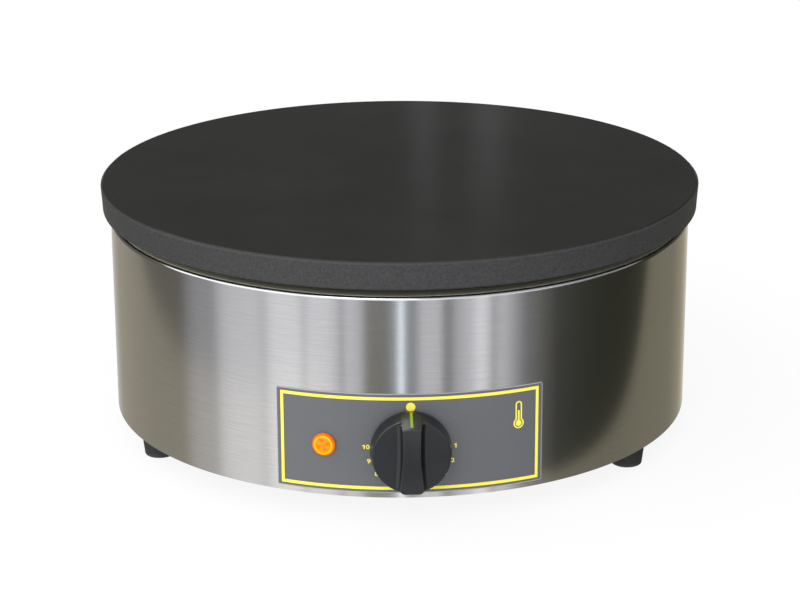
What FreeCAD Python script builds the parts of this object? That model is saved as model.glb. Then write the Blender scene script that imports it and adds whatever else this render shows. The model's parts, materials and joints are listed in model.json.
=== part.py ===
import FreeCAD, Part

import math
import os

V = FreeCAD.Vector

# Electric crepe maker, millimetres. The origin is on the table, on the body's axis.
# +Z is up. The control panel faces -Y and the cable inlet faces +Y.

# Griddle plate
PLATE_R = 200.0
PLATE_RIM_H = 18.0
PLATE_THICK = 12.0
PLATE_RIM_W = 10.0
PLATE_RIM_DRAFT = 1.0
PLATE_TOP_BEVEL = 1.6
PLATE_LOWER_ROUND = 1.5
PLATE_GAP = 6.0

# Body shell, a rolled stainless band with an inward flange at each end
BODY_R = 194.0
BODY_H = 130.5
BODY_WALL = 1.2
BODY_ROLL_R = 2.0
TOP_FLANGE_W = 13.0
TOP_FLANGE_DROP = 1.0
LOWER_FLANGE_W = 26.0

# Feet
FOOT_H = 16.0
FOOT_TOP_R = 11.7
FOOT_BOTTOM_R = 10.0
FOOT_ROUND = 1.5
FOOT_INSET = 16.0
FOOT_COUNT = 3
FOOT_FIRST_ANGLE = 84.5
FOOT_RECESS_R = 5.2
FOOT_RECESS_H = 8.0
FOOT_SCREW_R = 2.5
FOOT_SCREW_HEAD_H = 3.0
FOOT_NUT_HEX = 8.0
FOOT_NUT_H = 4.0

# Base plate
BASE_INSET = 4.0
BASE_THICK = 1.5
BASE_SCREW_INSET = 14.0
BASE_SCREW_R = 2.0
VENT_COUNT = 12
VENT_INNER_R = 48.0
VENT_OUTER_R = 92.0
VENT_W = 6.0

# Heat tray, hung on the top flange, and the insulation in it
TRAY_WALL = 1.0
TRAY_DEPTH = 20.5
TRAY_RIM_INSET = 3.0
TRAY_SIDE_GAP = 2.0
TRAY_SCREW_INSET = 7.0
TRAY_SCREW_R = 1.5
TRAY_SCREW_LENGTH = 6.0
TRAY_SCREW_ANGLES = (0, 60, 120, 180)
INSULATION_THICK = 15.0
INSULATION_GAP = 1.5

# Posts that carry the griddle plate on the tray
POST_TRAY_GAP = 9.0
POST_COUNT = 3
POST_FIRST_ANGLE = 90.0
POST_R = 7.0
BOSS_R = 9.0
BOSS_H = 8.5
PLATE_STUD_R = 4.0
PLATE_STUD_GRIP = 6.5

# Heating element, a tube wound as half turns on two centres
ELEMENT_R = 4.0
ELEMENT_POST_ROOM = 16.0
ELEMENT_PITCH = 32.0
ELEMENT_TURNS = 3
ELEMENT_BEND_R = 12.0
ELEMENT_LEG_END_Z = 112.0
ELEMENT_SEAT = 0.2
ELEMENT_BUSH_H = 6.0
ELEMENT_PIN_R = 1.6
ELEMENT_PIN_H = 14.0

# Bars that clamp the element under the plate
BAR_COUNT = 3
BAR_FIRST_ANGLE = 30.0
BAR_W = 14.0
BAR_THICK = 3.0
BAR_OVERHANG = 8.0
CLAMP_BOSS_R = 5.5
CLAMP_SCREW_R = 2.5

# Temperature sensor bulb and its capillary tube
BULB_R = 3.0
BULB_LENGTH = 60.0
BULB_INWARD = 2.0
CAPILLARY_R = 1.0
CAPILLARY_BEND_R = 20.0
CAPILLARY_BELOW_TRAY = 18.0
CAPILLARY_SLOPE = 14.0
CAPILLARY_FROM_BULB = 13.0
SADDLE_W = 10.0

# Control label on the front of the body
LABEL_W = 170.0
LABEL_H = 65.0
LABEL_THICK = 0.4
LABEL_CORNER_R = 1.0
LABEL_ABOVE_BODY_EDGE = 3.5
LABEL_KNOB_HOLE_INSET = 6.7
BORDER_SIDE_MARGIN = 2.7
BORDER_EDGE_MARGIN = 2.0
BORDER_CORNER_R = 0.5
BORDER_LINE_W = 2.0
PRINT_THICK = 0.12
PRINT_GAP = 0.12

# Thermometer sign printed on the label
SIGN_FROM_LABEL_END = 16.4
SIGN_H = 18.0
SIGN_ABOVE_LABEL_EDGE = 37.0
SIGN_STEM_R = 2.2
SIGN_BULB_R = 3.5
SIGN_LINE_W = 0.9
SIGN_MERCURY_W = 1.2
SIGN_DOT_R = 1.95

# Knob
KNOB_AXIS_ABOVE_BODY_EDGE = 33.1
KNOB_BACK_R = 25.2
KNOB_WING_R = 24.0
KNOB_FRONT_R = 20.6
KNOB_RIM_H = 2.0
KNOB_WING_DEPTH = 12.3
KNOB_DEPTH = 21.0
KNOB_OFF_BODY = 3.0
KNOB_BAR_POINTER_W = 13.3
KNOB_BAR_WAIST_W = 11.5
KNOB_BAR_TAIL_W = 16.0
KNOB_TAIL_REACH = 22.0
KNOB_TAIL_CORNER_R = 3.5
KNOB_SCOOP_FILLET = 4.0
KNOB_WING_ROUND = 0.8
KNOB_BAR_ROUND = 0.8
KNOB_BAR_BOW_R = 160.0
KNOB_BACK_HOLLOW_R = 20.5
KNOB_BACK_HOLLOW_DEPTH = 4.0
KNOB_HUB_R = 6.0
SPRING_THICK = 1.0
SPRING_SLIT_W = 1.6
POINTER_W = 1.7
POINTER_THICK = 0.3
POINTER_END_GAP = 0.3
POINTER_FRONT_GAP = 3.2

# Thermostat
SHAFT_R = 3.0
SHAFT_FLAT_DEPTH = 1.2
SHAFT_IN_KNOB = 13.0
RUNNING_GAP = 0.05
THERMOSTAT_W = 36.0
THERMOSTAT_H = 32.0
THERMOSTAT_DEPTH = 28.0
THERMOSTAT_WALL = 3.0
THERMOSTAT_COVER = 6.0
THERMOSTAT_ROUND = 2.0
BRACKET_W = 40.0
BRACKET_H = 24.0
BRACKET_THICK = 2.0
PANEL_SHAFT_HOLE_R = 5.5
THERMOSTAT_SCREW_SPACING = 28.0
THERMOSTAT_SCREW_R = 2.0
CAM_R = 9.0
CAM_THICK = 5.0
CAM_LIFT = 1.5
DIAPHRAGM_R = 9.0
DIAPHRAGM_THICK = 2.5

# Indicator lamp
LAMP_FROM_LABEL_END = 31.1
LAMP_ABOVE_BODY_EDGE = 33.9
LAMP_FLANGE_R = 7.5
LAMP_FLANGE_OUT = 1.3
LAMP_CROWN_R = 6.3
LAMP_CROWN_OUT = 2.4
LAMP_ROUND = 0.5
LAMP_WELL_R = 4.9
LAMP_WELL_DEPTH = 0.7
LAMP_FACETS = 8
LAMP_STEM_INSET = 1.0
LAMP_BARREL_R = 5.5
LAMP_BARREL_LENGTH = 26.0
LAMP_NUT_R = 9.0
LAMP_NUT_THICK = 4.0

# Cable inlet at the back
GLAND_ABOVE_BODY_EDGE = 30.0
GLAND_THREAD_R = 10.0
GLAND_HEX = 24.0
GLAND_HEX_THICK = 7.0
GLAND_DOME_LENGTH = 16.0
GLAND_DOME_R = 12.0
GLAND_GRIP_LENGTH = 9.6
GLAND_CORNER_CUT = 0.8
GLAND_NECK_INSET = 1.0
GLAND_FLUTES = 12
GLAND_FLUTE_R = 1.4
GLAND_FLUTE_OUT = 0.8
GLAND_INSIDE = 9.0
GLAND_LOCKNUT_THICK = 5.0
GLAND_SEAL_R = 7.4
GLAND_SEAL_SEAT = 2.0
GLAND_BORE_GAP = 2.0
GLAND_MOUTH_GAP = 1.5
CABLE_R = 4.0
CABLE_GAP = 0.2

# Terminal block and earth stud on the base plate
BLOCK_X = 40.0
BLOCK_FROM_BODY_BACK = 69.0
BLOCK_DEPTH = 22.0
BLOCK_H = 24.0
BLOCK_POLE_PITCH = 12.0
BLOCK_POLES = 3
BLOCK_END_W = 3.0
BLOCK_ROUND = 1.5
BLOCK_EAR_W = 10.0
BLOCK_EAR_H = 4.0
BLOCK_ENTRY_H = 8.4
BLOCK_ENTRY_GAP = 1.0
BLOCK_SCREW_R = 2.4
BLOCK_SCREW_RECESS = 2.0
BLOCK_FIXING_R = 1.5
WIRE_IN_BLOCK = 7.0
EARTH_X = -52.0
EARTH_FROM_BODY_BACK = 66.0
EARTH_STUD_R = 3.0
EARTH_STUD_H = 18.0
EARTH_NUT_HEX = 10.0
EARTH_NUT_H = 5.0
EARTH_LUG_R = 6.0
EARTH_LUG_THICK = 1.0
EARTH_TONGUE_LENGTH = 16.0
EARTH_BARREL_START = 13.0
EARTH_BARREL_LENGTH = 9.0
EARTH_BARREL_WALL = 0.9
WIRE_IN_BARREL = 7.5

# Wires and their push-on connectors. The wires' slack is counted in steps.
WIRE_R = 1.5
WIRE_BEND_R = 60.0
LAMP_WIRE_R = 0.8
LAMP_WIRE_BEND_R = 12.0
LAMP_WIRE_APART = 2.5
WIRE_STEP = 10.0
TAB_W = 6.3
TAB_THICK = 0.8
TAB_LENGTH = 9.0
SLEEVE_W = 8.0
SLEEVE_THICK = 3.4
SLEEVE_LENGTH = 14.0
SLEEVE_BOOT = 3.0

# General clearances
HOLE_GAP = 0.3
THREAD_GAP = 0.05
SKIN_GAP = 0.05
SOFT_GAP = 0.3
CUT_REACH = 10.0

# Places that follow from the sizes above
FOOT_CIRCLE_R = BODY_R - FOOT_INSET
BASE_R = BODY_R - BASE_INSET
BASE_SCREW_CIRCLE_R = BODY_R - BASE_SCREW_INSET
TRAY_RIM_OUTER_R = BODY_R - TRAY_RIM_INSET
TRAY_SCREW_CIRCLE_R = BODY_R - TRAY_SCREW_INSET
BLOCK_Y = BODY_R - BLOCK_FROM_BODY_BACK
EARTH_Y = BODY_R - EARTH_FROM_BODY_BACK
LABEL_KNOB_HOLE_R = KNOB_BACK_R - LABEL_KNOB_HOLE_INSET
BODY_LOW_Z = FOOT_H
BODY_TOP_Z = BODY_LOW_Z + BODY_H
BODY_INNER_R = BODY_R - BODY_WALL
FLANGE_TOP_Z = BODY_TOP_Z - TOP_FLANGE_DROP
FLANGE_INNER_R = BODY_R - TOP_FLANGE_W
LOWER_FLANGE_TOP_Z = BODY_LOW_Z + BODY_WALL
PLATE_RIM_LOW_Z = BODY_TOP_Z + PLATE_GAP
PLATE_TOP_Z = PLATE_RIM_LOW_Z + PLATE_RIM_H
PLATE_UNDER_Z = PLATE_TOP_Z - PLATE_THICK
BASE_LOW_Z = BODY_LOW_Z - BASE_THICK
TRAY_OUTER_R = FLANGE_INNER_R - TRAY_SIDE_GAP
POST_CIRCLE_R = TRAY_OUTER_R - TRAY_WALL - POST_R - POST_TRAY_GAP
ELEMENT_FIRST_R = POST_CIRCLE_R - ELEMENT_TURNS * ELEMENT_PITCH - ELEMENT_POST_ROOM
TRAY_RIM_TOP_Z = FLANGE_TOP_Z + TRAY_WALL
TRAY_LOW_Z = TRAY_RIM_TOP_Z - TRAY_DEPTH
TRAY_FLOOR_Z = TRAY_LOW_Z + TRAY_WALL
BOSS_LOW_Z = PLATE_UNDER_Z - BOSS_H
ELEMENT_Z = PLATE_UNDER_Z - ELEMENT_SEAT - ELEMENT_R
BAR_TOP_Z = ELEMENT_Z - ELEMENT_R - ELEMENT_SEAT
BAR_LOW_Z = BAR_TOP_Z - BAR_THICK
BULB_Z = PLATE_UNDER_Z - ELEMENT_SEAT - BULB_R
ELEMENT_OFFSET = ELEMENT_PITCH / 2
BULB_ROW_R = ELEMENT_FIRST_R + ELEMENT_OFFSET + 1.5 * ELEMENT_PITCH - BULB_INWARD
KNOB_Z = BODY_LOW_Z + KNOB_AXIS_ABOVE_BODY_EDGE
LAMP_Z = BODY_LOW_Z + LAMP_ABOVE_BODY_EDGE
GLAND_Z = BODY_LOW_Z + GLAND_ABOVE_BODY_EDGE
LABEL_LOW_Z = BODY_LOW_Z + LABEL_ABOVE_BODY_EDGE
LABEL_R = BODY_R + SKIN_GAP
LABEL_FACE_R = LABEL_R + LABEL_THICK
KNOB_BACK_Y = -(BODY_R + KNOB_OFF_BODY)
KNOB_FRONT_Y = KNOB_BACK_Y - KNOB_DEPTH
BRACKET_FRONT_Y = SKIN_GAP * 3 - math.sqrt(BODY_INNER_R ** 2 - (BRACKET_W / 2) ** 2)
BRACKET_BACK_Y = BRACKET_FRONT_Y + BRACKET_THICK
HOUSING_BACK_Y = BRACKET_BACK_Y + THERMOSTAT_DEPTH
COVER_BACK_Y = HOUSING_BACK_Y + THERMOSTAT_COVER
CAM_FRONT_Y = BRACKET_BACK_Y + THERMOSTAT_WALL + 2 * SOFT_GAP
DIAPHRAGM_FRONT_Y = CAM_FRONT_Y + CAM_THICK + CAM_LIFT
TAB_TIP_Y = COVER_BACK_Y + TAB_LENGTH
BLOCK_LOW_Z = BODY_LOW_Z
BLOCK_W = BLOCK_POLES * BLOCK_POLE_PITCH + 2 * BLOCK_END_W
BLOCK_ENTRY_Z = BLOCK_LOW_Z + BLOCK_ENTRY_H
PANEL_FRONT_Y = -BODY_R - CUT_REACH
EARTH_LUG_Z = BODY_LOW_Z + EARTH_NUT_H
EARTH_WIRE_Z = EARTH_LUG_Z + WIRE_R + EARTH_BARREL_WALL
PIN_LOW_Z = ELEMENT_LEG_END_Z - ELEMENT_BUSH_H - ELEMENT_PIN_H
PIN_SLEEVE_LOW_Z = PIN_LOW_Z - (SLEEVE_LENGTH - ELEMENT_PIN_H + SOFT_GAP) - SLEEVE_BOOT
LAMP_ANGLE = math.degrees((LAMP_FROM_LABEL_END - LABEL_W / 2) / LABEL_FACE_R)
SIGN_ANGLE = math.degrees((LABEL_W / 2 - SIGN_FROM_LABEL_END) / LABEL_FACE_R)
PRINT_R = LABEL_FACE_R + PRINT_GAP
LAMP_BARREL_END_R = BODY_INNER_R - LAMP_BARREL_LENGTH


def ring_angles(count, first):
    return [first + index * 360.0 / count for index in range(count)]


def at_angle(radius, degrees, z=0.0):
    return V(radius * math.cos(math.radians(degrees)), radius * math.sin(math.radians(degrees)), z)


def disc(radius, low_z, height, centre=V(0, 0, 0)):
    return Part.makeCylinder(radius, height, V(centre.x, centre.y, low_z))


def ring(outer_r, inner_r, low_z, height, centre=V(0, 0, 0)):
    return disc(outer_r, low_z, height, centre).cut(disc(inner_r, low_z, height, centre))


def rod_y(radius, front_y, back_y, x, z):
    return Part.makeCylinder(radius, back_y - front_y, V(x, front_y, z), V(0, 1, 0))


def block(low, high):
    size = high.sub(low)
    return Part.makeBox(size.x, size.y, size.z, low)


def revolved(points):
    """Solid of revolution about Z from a closed outline of (radius, z) points."""
    outline = Part.makePolygon([V(r, 0, z) for r, z in points + points[:1]])
    return Part.Face(outline).revolve(V(0, 0, 0), V(0, 0, 1), 360)


def hex_prism(across_flats, low_z, height, centre=V(0, 0, 0)):
    radius = across_flats / math.sqrt(3)
    corners = [at_angle(radius, 60 * k, low_z).add(V(centre.x, centre.y, 0)) for k in range(7)]
    return Part.Face(Part.makePolygon(corners)).extrude(V(0, 0, height))


def hex_nut(across_flats, bore_r, low_z, height, centre):
    """Hexagon nut with chamfered corners."""
    nut = hex_prism(across_flats, low_z, height, centre)
    chamfer = 0.08 * across_flats
    corner_r = across_flats / math.sqrt(3)
    lower = Part.makeCone(corner_r - chamfer, corner_r, chamfer / 2, V(centre.x, centre.y, low_z))
    middle = disc(corner_r, low_z + chamfer / 2, height - chamfer, centre)
    upper_z = low_z + height - chamfer / 2
    upper = Part.makeCone(corner_r, corner_r - chamfer, chamfer / 2, V(centre.x, centre.y, upper_z))
    blank = lower.fuse([middle, upper])
    return nut.common(blank).cut(disc(bore_r, low_z, height, centre))


def pan_head(radius, low_z, height, centre, up=1):
    """Round screw head with a cross slot. Its flat side is at low_z, its crown points up or down."""
    head = Part.makeCylinder(radius, height, V(centre.x, centre.y, low_z), V(0, 0, up))
    crown_z = low_z + up * height
    rim = [edge for edge in head.Edges if abs(edge.BoundBox.ZMin - crown_z) < 0.01
           and abs(edge.BoundBox.ZMax - crown_z) < 0.01]
    head = head.makeFillet(min(0.45 * height, 0.35 * radius), rim)
    slot_w = 0.25 * radius
    for along_x in (True, False):
        half_x = 0.6 * radius if along_x else slot_w / 2
        half_y = slot_w / 2 if along_x else 0.6 * radius
        deep_z = crown_z - up * 0.5 * height
        low = V(centre.x - half_x, centre.y - half_y, min(deep_z, crown_z))
        high = V(centre.x + half_x, centre.y + half_y, max(deep_z, crown_z))
        head = head.cut(block(low, high))
    return head


def corner_radii(points, largest):
    """Radius of the tangent arc at each inner point of a route."""
    radii = []
    for before, corner, after in zip(points, points[1:], points[2:]):
        turn = corner.sub(before).getAngle(after.sub(corner))
        run = min(corner.sub(before).Length, after.sub(corner).Length)
        radii.append(min(largest, 0.45 * run / math.tan(turn / 2)))
    return radii


def routed_tube(name, points, tube_r, largest_bend):
    """Round tube along straight runs joined by tangent arcs."""
    edges = []
    start = points[0]
    radii = corner_radii(points, largest_bend)
    for index, radius in enumerate(radii):
        corner = points[index + 1]
        back = points[index].sub(corner).normalize()
        ahead = points[index + 2].sub(corner).normalize()
        turn = math.pi - back.getAngle(ahead)
        reach = radius * math.tan(turn / 2)
        arc_start = corner.add(back.multiply(reach))
        arc_end = corner.add(ahead.multiply(reach))
        inward = arc_start.add(arc_end).multiply(0.5).sub(corner).normalize()
        middle = corner.add(inward.multiply(radius / math.cos(turn / 2) - radius))
        edges.append(Part.LineSegment(start, arc_start).toShape())
        edges.append(Part.Arc(arc_start, middle, arc_end).toShape())
        start = arc_end
    edges.append(Part.LineSegment(start, points[-1]).toShape())
    path = Part.Wire(edges)
    direction = points[1].sub(points[0])
    section = Part.Wire([Part.makeCircle(tube_r, points[0], direction)])
    tube = path.makePipeShell([section], True, False)
    expected = math.pi * tube_r ** 2 * path.Length
    print(name, "length", round(path.Length, 1), "bend radii", [round(r, 1) for r in radii],
          "volume share", round(tube.Volume / expected, 4))
    return tube


def boss_places():
    return [at_angle(POST_CIRCLE_R, angle) for angle in ring_angles(POST_COUNT, POST_FIRST_ANGLE)]


def turn_radius(angle, turn):
    """Distance from the body axis to a turn of the element, in the direction of angle."""
    radius = ELEMENT_FIRST_R + turn * ELEMENT_PITCH
    if math.sin(math.radians(angle)) >= 0:
        return radius
    radius += ELEMENT_OFFSET
    across = ELEMENT_OFFSET * math.sin(math.radians(angle))
    along = ELEMENT_OFFSET * math.cos(math.radians(angle))
    return along + math.sqrt(radius ** 2 - across ** 2)


def clamp_places():
    """Centre of each clamp screw, midway between the first and second turns."""
    places = []
    for angle in ring_angles(BAR_COUNT, BAR_FIRST_ANGLE):
        radius = (turn_radius(angle, 0) + turn_radius(angle, 1)) / 2
        places.append((angle, at_angle(radius, angle)))
    return places


def griddle_plate():
    low_r = PLATE_R - PLATE_RIM_DRAFT
    rim_inner_r = PLATE_R - PLATE_RIM_W
    outline = [(0, PLATE_TOP_Z), (PLATE_R - PLATE_TOP_BEVEL, PLATE_TOP_Z),
               (PLATE_R, PLATE_TOP_Z - PLATE_TOP_BEVEL), (low_r, PLATE_RIM_LOW_Z),
               (rim_inner_r, PLATE_RIM_LOW_Z), (rim_inner_r, PLATE_UNDER_Z), (0, PLATE_UNDER_Z)]
    plate = revolved(outline)
    lower_edges = [edge for edge in plate.Edges if abs(edge.BoundBox.ZMax - PLATE_RIM_LOW_Z) < 0.01
                   and edge.BoundBox.XMax > low_r - 0.01]
    plate = plate.makeFillet(PLATE_LOWER_ROUND, lower_edges)
    for place in boss_places():
        boss = disc(BOSS_R, BOSS_LOW_Z, BOSS_H, place)
        hole = disc(PLATE_STUD_R + THREAD_GAP, BOSS_LOW_Z, PLATE_STUD_GRIP + THREAD_GAP, place)
        plate = plate.fuse(boss).cut(hole)
    for _, place in clamp_places():
        boss = disc(CLAMP_BOSS_R, BAR_TOP_Z, PLATE_UNDER_Z - BAR_TOP_Z, place)
        hole = disc(CLAMP_SCREW_R + THREAD_GAP, BAR_TOP_Z, PLATE_UNDER_Z - BAR_TOP_Z, place)
        plate = plate.fuse(boss).cut(hole)
    return plate.removeSplitter()


def plate_posts():
    bore_r = PLATE_STUD_R + HOLE_GAP
    height = BOSS_LOW_Z - TRAY_FLOOR_Z
    return [ring(POST_R, bore_r, TRAY_FLOOR_Z, height, place) for place in boss_places()]


def plate_nut_height():
    return 1.6 * PLATE_STUD_R


def plate_washers():
    bore_r = PLATE_STUD_R + HOLE_GAP
    thick = BASE_THICK
    return [ring(2 * PLATE_STUD_R, bore_r, TRAY_LOW_Z - thick, thick, place) for place in boss_places()]


def plate_nuts():
    nuts = []
    low_z = TRAY_LOW_Z - BASE_THICK - plate_nut_height()
    for place in boss_places():
        nuts.append(hex_nut(3.25 * PLATE_STUD_R, PLATE_STUD_R + THREAD_GAP, low_z,
                            plate_nut_height(), place))
    return nuts


def plate_studs():
    low_z = TRAY_LOW_Z - BASE_THICK - plate_nut_height() - PLATE_STUD_R / 2
    height = BOSS_LOW_Z + PLATE_STUD_GRIP - low_z
    return [disc(PLATE_STUD_R, low_z, height, place) for place in boss_places()]


def element_leg_places():
    first = V(ELEMENT_FIRST_R, -ELEMENT_BEND_R, 0)
    last = V(ELEMENT_FIRST_R + ELEMENT_TURNS * ELEMENT_PITCH, ELEMENT_BEND_R, 0)
    return first, last


def quarter_bend(top, foot_side):
    """Arc from the flat coil down to a leg that stands on the given side along Y."""
    slant = ELEMENT_BEND_R * math.sin(math.radians(45))
    middle = V(top.x, top.y + foot_side * slant, top.z - ELEMENT_BEND_R + slant)
    low = V(top.x, top.y + foot_side * ELEMENT_BEND_R, top.z - ELEMENT_BEND_R)
    return top, middle, low


def heating_element():
    start = V(ELEMENT_FIRST_R, 0, ELEMENT_Z)
    top, middle, low = quarter_bend(start, -1)
    leg_foot = V(low.x, low.y, ELEMENT_LEG_END_Z)
    edges = [Part.LineSegment(leg_foot, low).toShape(), Part.Arc(low, middle, top).toShape()]
    point = start
    for turn in range(ELEMENT_TURNS):
        upper_r = ELEMENT_FIRST_R + turn * ELEMENT_PITCH
        lower_r = upper_r + ELEMENT_OFFSET
        left = V(-upper_r, 0, ELEMENT_Z)
        right = V(-upper_r + 2 * lower_r, 0, ELEMENT_Z)
        edges.append(Part.Arc(point, V(0, upper_r, ELEMENT_Z), left).toShape())
        edges.append(Part.Arc(left, V(ELEMENT_OFFSET, -lower_r, ELEMENT_Z), right).toShape())
        point = right
    top, middle, low = quarter_bend(point, 1)
    edges.append(Part.Arc(top, middle, low).toShape())
    edges.append(Part.LineSegment(low, V(low.x, low.y, ELEMENT_LEG_END_Z)).toShape())
    path = Part.Wire(edges)
    section = Part.Wire([Part.makeCircle(ELEMENT_R, leg_foot, V(0, 0, 1))])
    tube = path.makePipeShell([section], True, False)
    expected = math.pi * ELEMENT_R ** 2 * path.Length
    gap = ELEMENT_PITCH - 2 * ELEMENT_R
    print("heating_element length", round(path.Length), "gap between turns", gap,
          "volume share", round(tube.Volume / expected, 4))
    return tube


def element_bushes():
    low_z = ELEMENT_LEG_END_Z - ELEMENT_BUSH_H
    bore_r = ELEMENT_PIN_R + THREAD_GAP
    return [ring(ELEMENT_R, bore_r, low_z, ELEMENT_BUSH_H, place) for place in element_leg_places()]


def element_pins():
    low_z = ELEMENT_LEG_END_Z - ELEMENT_BUSH_H - ELEMENT_PIN_H
    pins = []
    for place in element_leg_places():
        pins.append(disc(ELEMENT_PIN_R, low_z, ELEMENT_LEG_END_Z - low_z, place))
    return pins


def clamp_bars():
    bars = []
    for angle, place in clamp_places():
        inner_r = turn_radius(angle, 0) - BAR_OVERHANG
        outer_r = turn_radius(angle, ELEMENT_TURNS - 1) + BAR_OVERHANG
        bar = block(V(inner_r, -BAR_W / 2, BAR_LOW_Z), V(outer_r, BAR_W / 2, BAR_TOP_Z))
        upright = [edge for edge in bar.Edges if edge.BoundBox.ZLength > BAR_THICK - 0.01]
        bar = bar.makeFillet(BAR_W / 4, upright)
        bar.rotate(V(0, 0, 0), V(0, 0, 1), angle)
        hole = disc(CLAMP_SCREW_R + HOLE_GAP, BAR_LOW_Z, BAR_THICK, place)
        bars.append(bar.cut(hole))
    return bars


def clamp_screws():
    screws = []
    for _, place in clamp_places():
        head = pan_head(1.9 * CLAMP_SCREW_R, BAR_LOW_Z, 1.2 * CLAMP_SCREW_R, place, -1)
        length = PLATE_UNDER_Z - THREAD_GAP - BAR_LOW_Z
        screws.append(head.fuse(disc(CLAMP_SCREW_R, BAR_LOW_Z, length, place)))
    return screws


def bulb_start_x():
    return ELEMENT_OFFSET - BULB_LENGTH / 2


def sensor_bulb():
    bulb = Part.makeCylinder(BULB_R, BULB_LENGTH, V(bulb_start_x(), -BULB_ROW_R, BULB_Z), V(1, 0, 0))
    far_x = bulb_start_x() + BULB_LENGTH
    far_edge = [edge for edge in bulb.Edges if edge.BoundBox.XMin > far_x - 0.01]
    return bulb.makeFillet(0.6 * BULB_R, far_edge)


def bulb_saddle():
    """Grooved rest between the lowest clamp bar and the bulb."""
    top_z = BULB_Z - 0.4 * BULB_R
    low = V(-BAR_W / 2, -BULB_ROW_R - SADDLE_W / 2, BAR_TOP_Z)
    high = V(BAR_W / 2, -BULB_ROW_R + SADDLE_W / 2, top_z)
    groove = Part.makeCylinder(BULB_R + SKIN_GAP, BAR_W, V(-BAR_W / 2, -BULB_ROW_R, BULB_Z), V(1, 0, 0))
    return block(low, high).cut(groove)


def capillary_drop():
    """Place where the capillary goes through the tray and the insulation."""
    return V(bulb_start_x() - CAPILLARY_FROM_BULB, -BULB_ROW_R, 0)


def diaphragm_middle_y():
    return DIAPHRAGM_FRONT_Y + DIAPHRAGM_THICK / 2


def capillary_tube():
    drop = capillary_drop()
    leave_z = TRAY_LOW_Z - CAPILLARY_BELOW_TRAY
    points = [V(0, diaphragm_middle_y(), KNOB_Z + DIAPHRAGM_R + SKIN_GAP),
              V(0, diaphragm_middle_y(), leave_z - CAPILLARY_SLOPE),
              V(drop.x, drop.y, leave_z),
              V(drop.x, drop.y, BULB_Z),
              V(bulb_start_x(), drop.y, BULB_Z)]
    return routed_tube("capillary_tube", points, CAPILLARY_R, CAPILLARY_BEND_R)


def insulation_disc():
    outer_r = TRAY_OUTER_R - TRAY_WALL - INSULATION_GAP
    pad = disc(outer_r, TRAY_FLOOR_Z, INSULATION_THICK)
    edge = [edge for edge in pad.Edges if edge.BoundBox.ZMin > TRAY_FLOOR_Z + INSULATION_THICK - 0.01]
    pad = pad.makeFillet(INSULATION_GAP, edge)
    for place in boss_places():
        pad = pad.cut(disc(POST_R + SOFT_GAP, TRAY_FLOOR_Z, INSULATION_THICK, place))
    for place in element_leg_places():
        pad = pad.cut(disc(ELEMENT_R + SOFT_GAP, TRAY_FLOOR_Z, INSULATION_THICK, place))
    return pad.cut(disc(CAPILLARY_R + SOFT_GAP, TRAY_FLOOR_Z, INSULATION_THICK, capillary_drop()))


def heat_tray():
    inner_r = TRAY_OUTER_R - TRAY_WALL
    outline = [(0, TRAY_LOW_Z), (TRAY_OUTER_R, TRAY_LOW_Z), (TRAY_OUTER_R, FLANGE_TOP_Z),
               (TRAY_RIM_OUTER_R, FLANGE_TOP_Z), (TRAY_RIM_OUTER_R, TRAY_RIM_TOP_Z),
               (inner_r, TRAY_RIM_TOP_Z), (inner_r, TRAY_FLOOR_Z), (0, TRAY_FLOOR_Z)]
    tray = revolved(outline)
    for place in boss_places():
        tray = tray.cut(disc(PLATE_STUD_R + HOLE_GAP, TRAY_LOW_Z, TRAY_WALL, place))
    for place in element_leg_places():
        tray = tray.cut(disc(ELEMENT_R + SOFT_GAP, TRAY_LOW_Z, TRAY_WALL, place))
    tray = tray.cut(disc(CAPILLARY_R + SOFT_GAP, TRAY_LOW_Z, TRAY_WALL, capillary_drop()))
    for angle in TRAY_SCREW_ANGLES:
        place = at_angle(TRAY_SCREW_CIRCLE_R, angle)
        tray = tray.cut(disc(TRAY_SCREW_R + HOLE_GAP, FLANGE_TOP_Z, TRAY_WALL, place))
    return tray


def tray_screws():
    screws = []
    for angle in TRAY_SCREW_ANGLES:
        place = at_angle(TRAY_SCREW_CIRCLE_R, angle)
        shank_low_z = FLANGE_TOP_Z - TRAY_SCREW_LENGTH
        head = pan_head(2 * TRAY_SCREW_R, TRAY_RIM_TOP_Z, 1.2 * TRAY_SCREW_R, place)
        shank = disc(TRAY_SCREW_R, shank_low_z, TRAY_RIM_TOP_Z - shank_low_z, place)
        screws.append(head.fuse(shank))
    return screws


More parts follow.
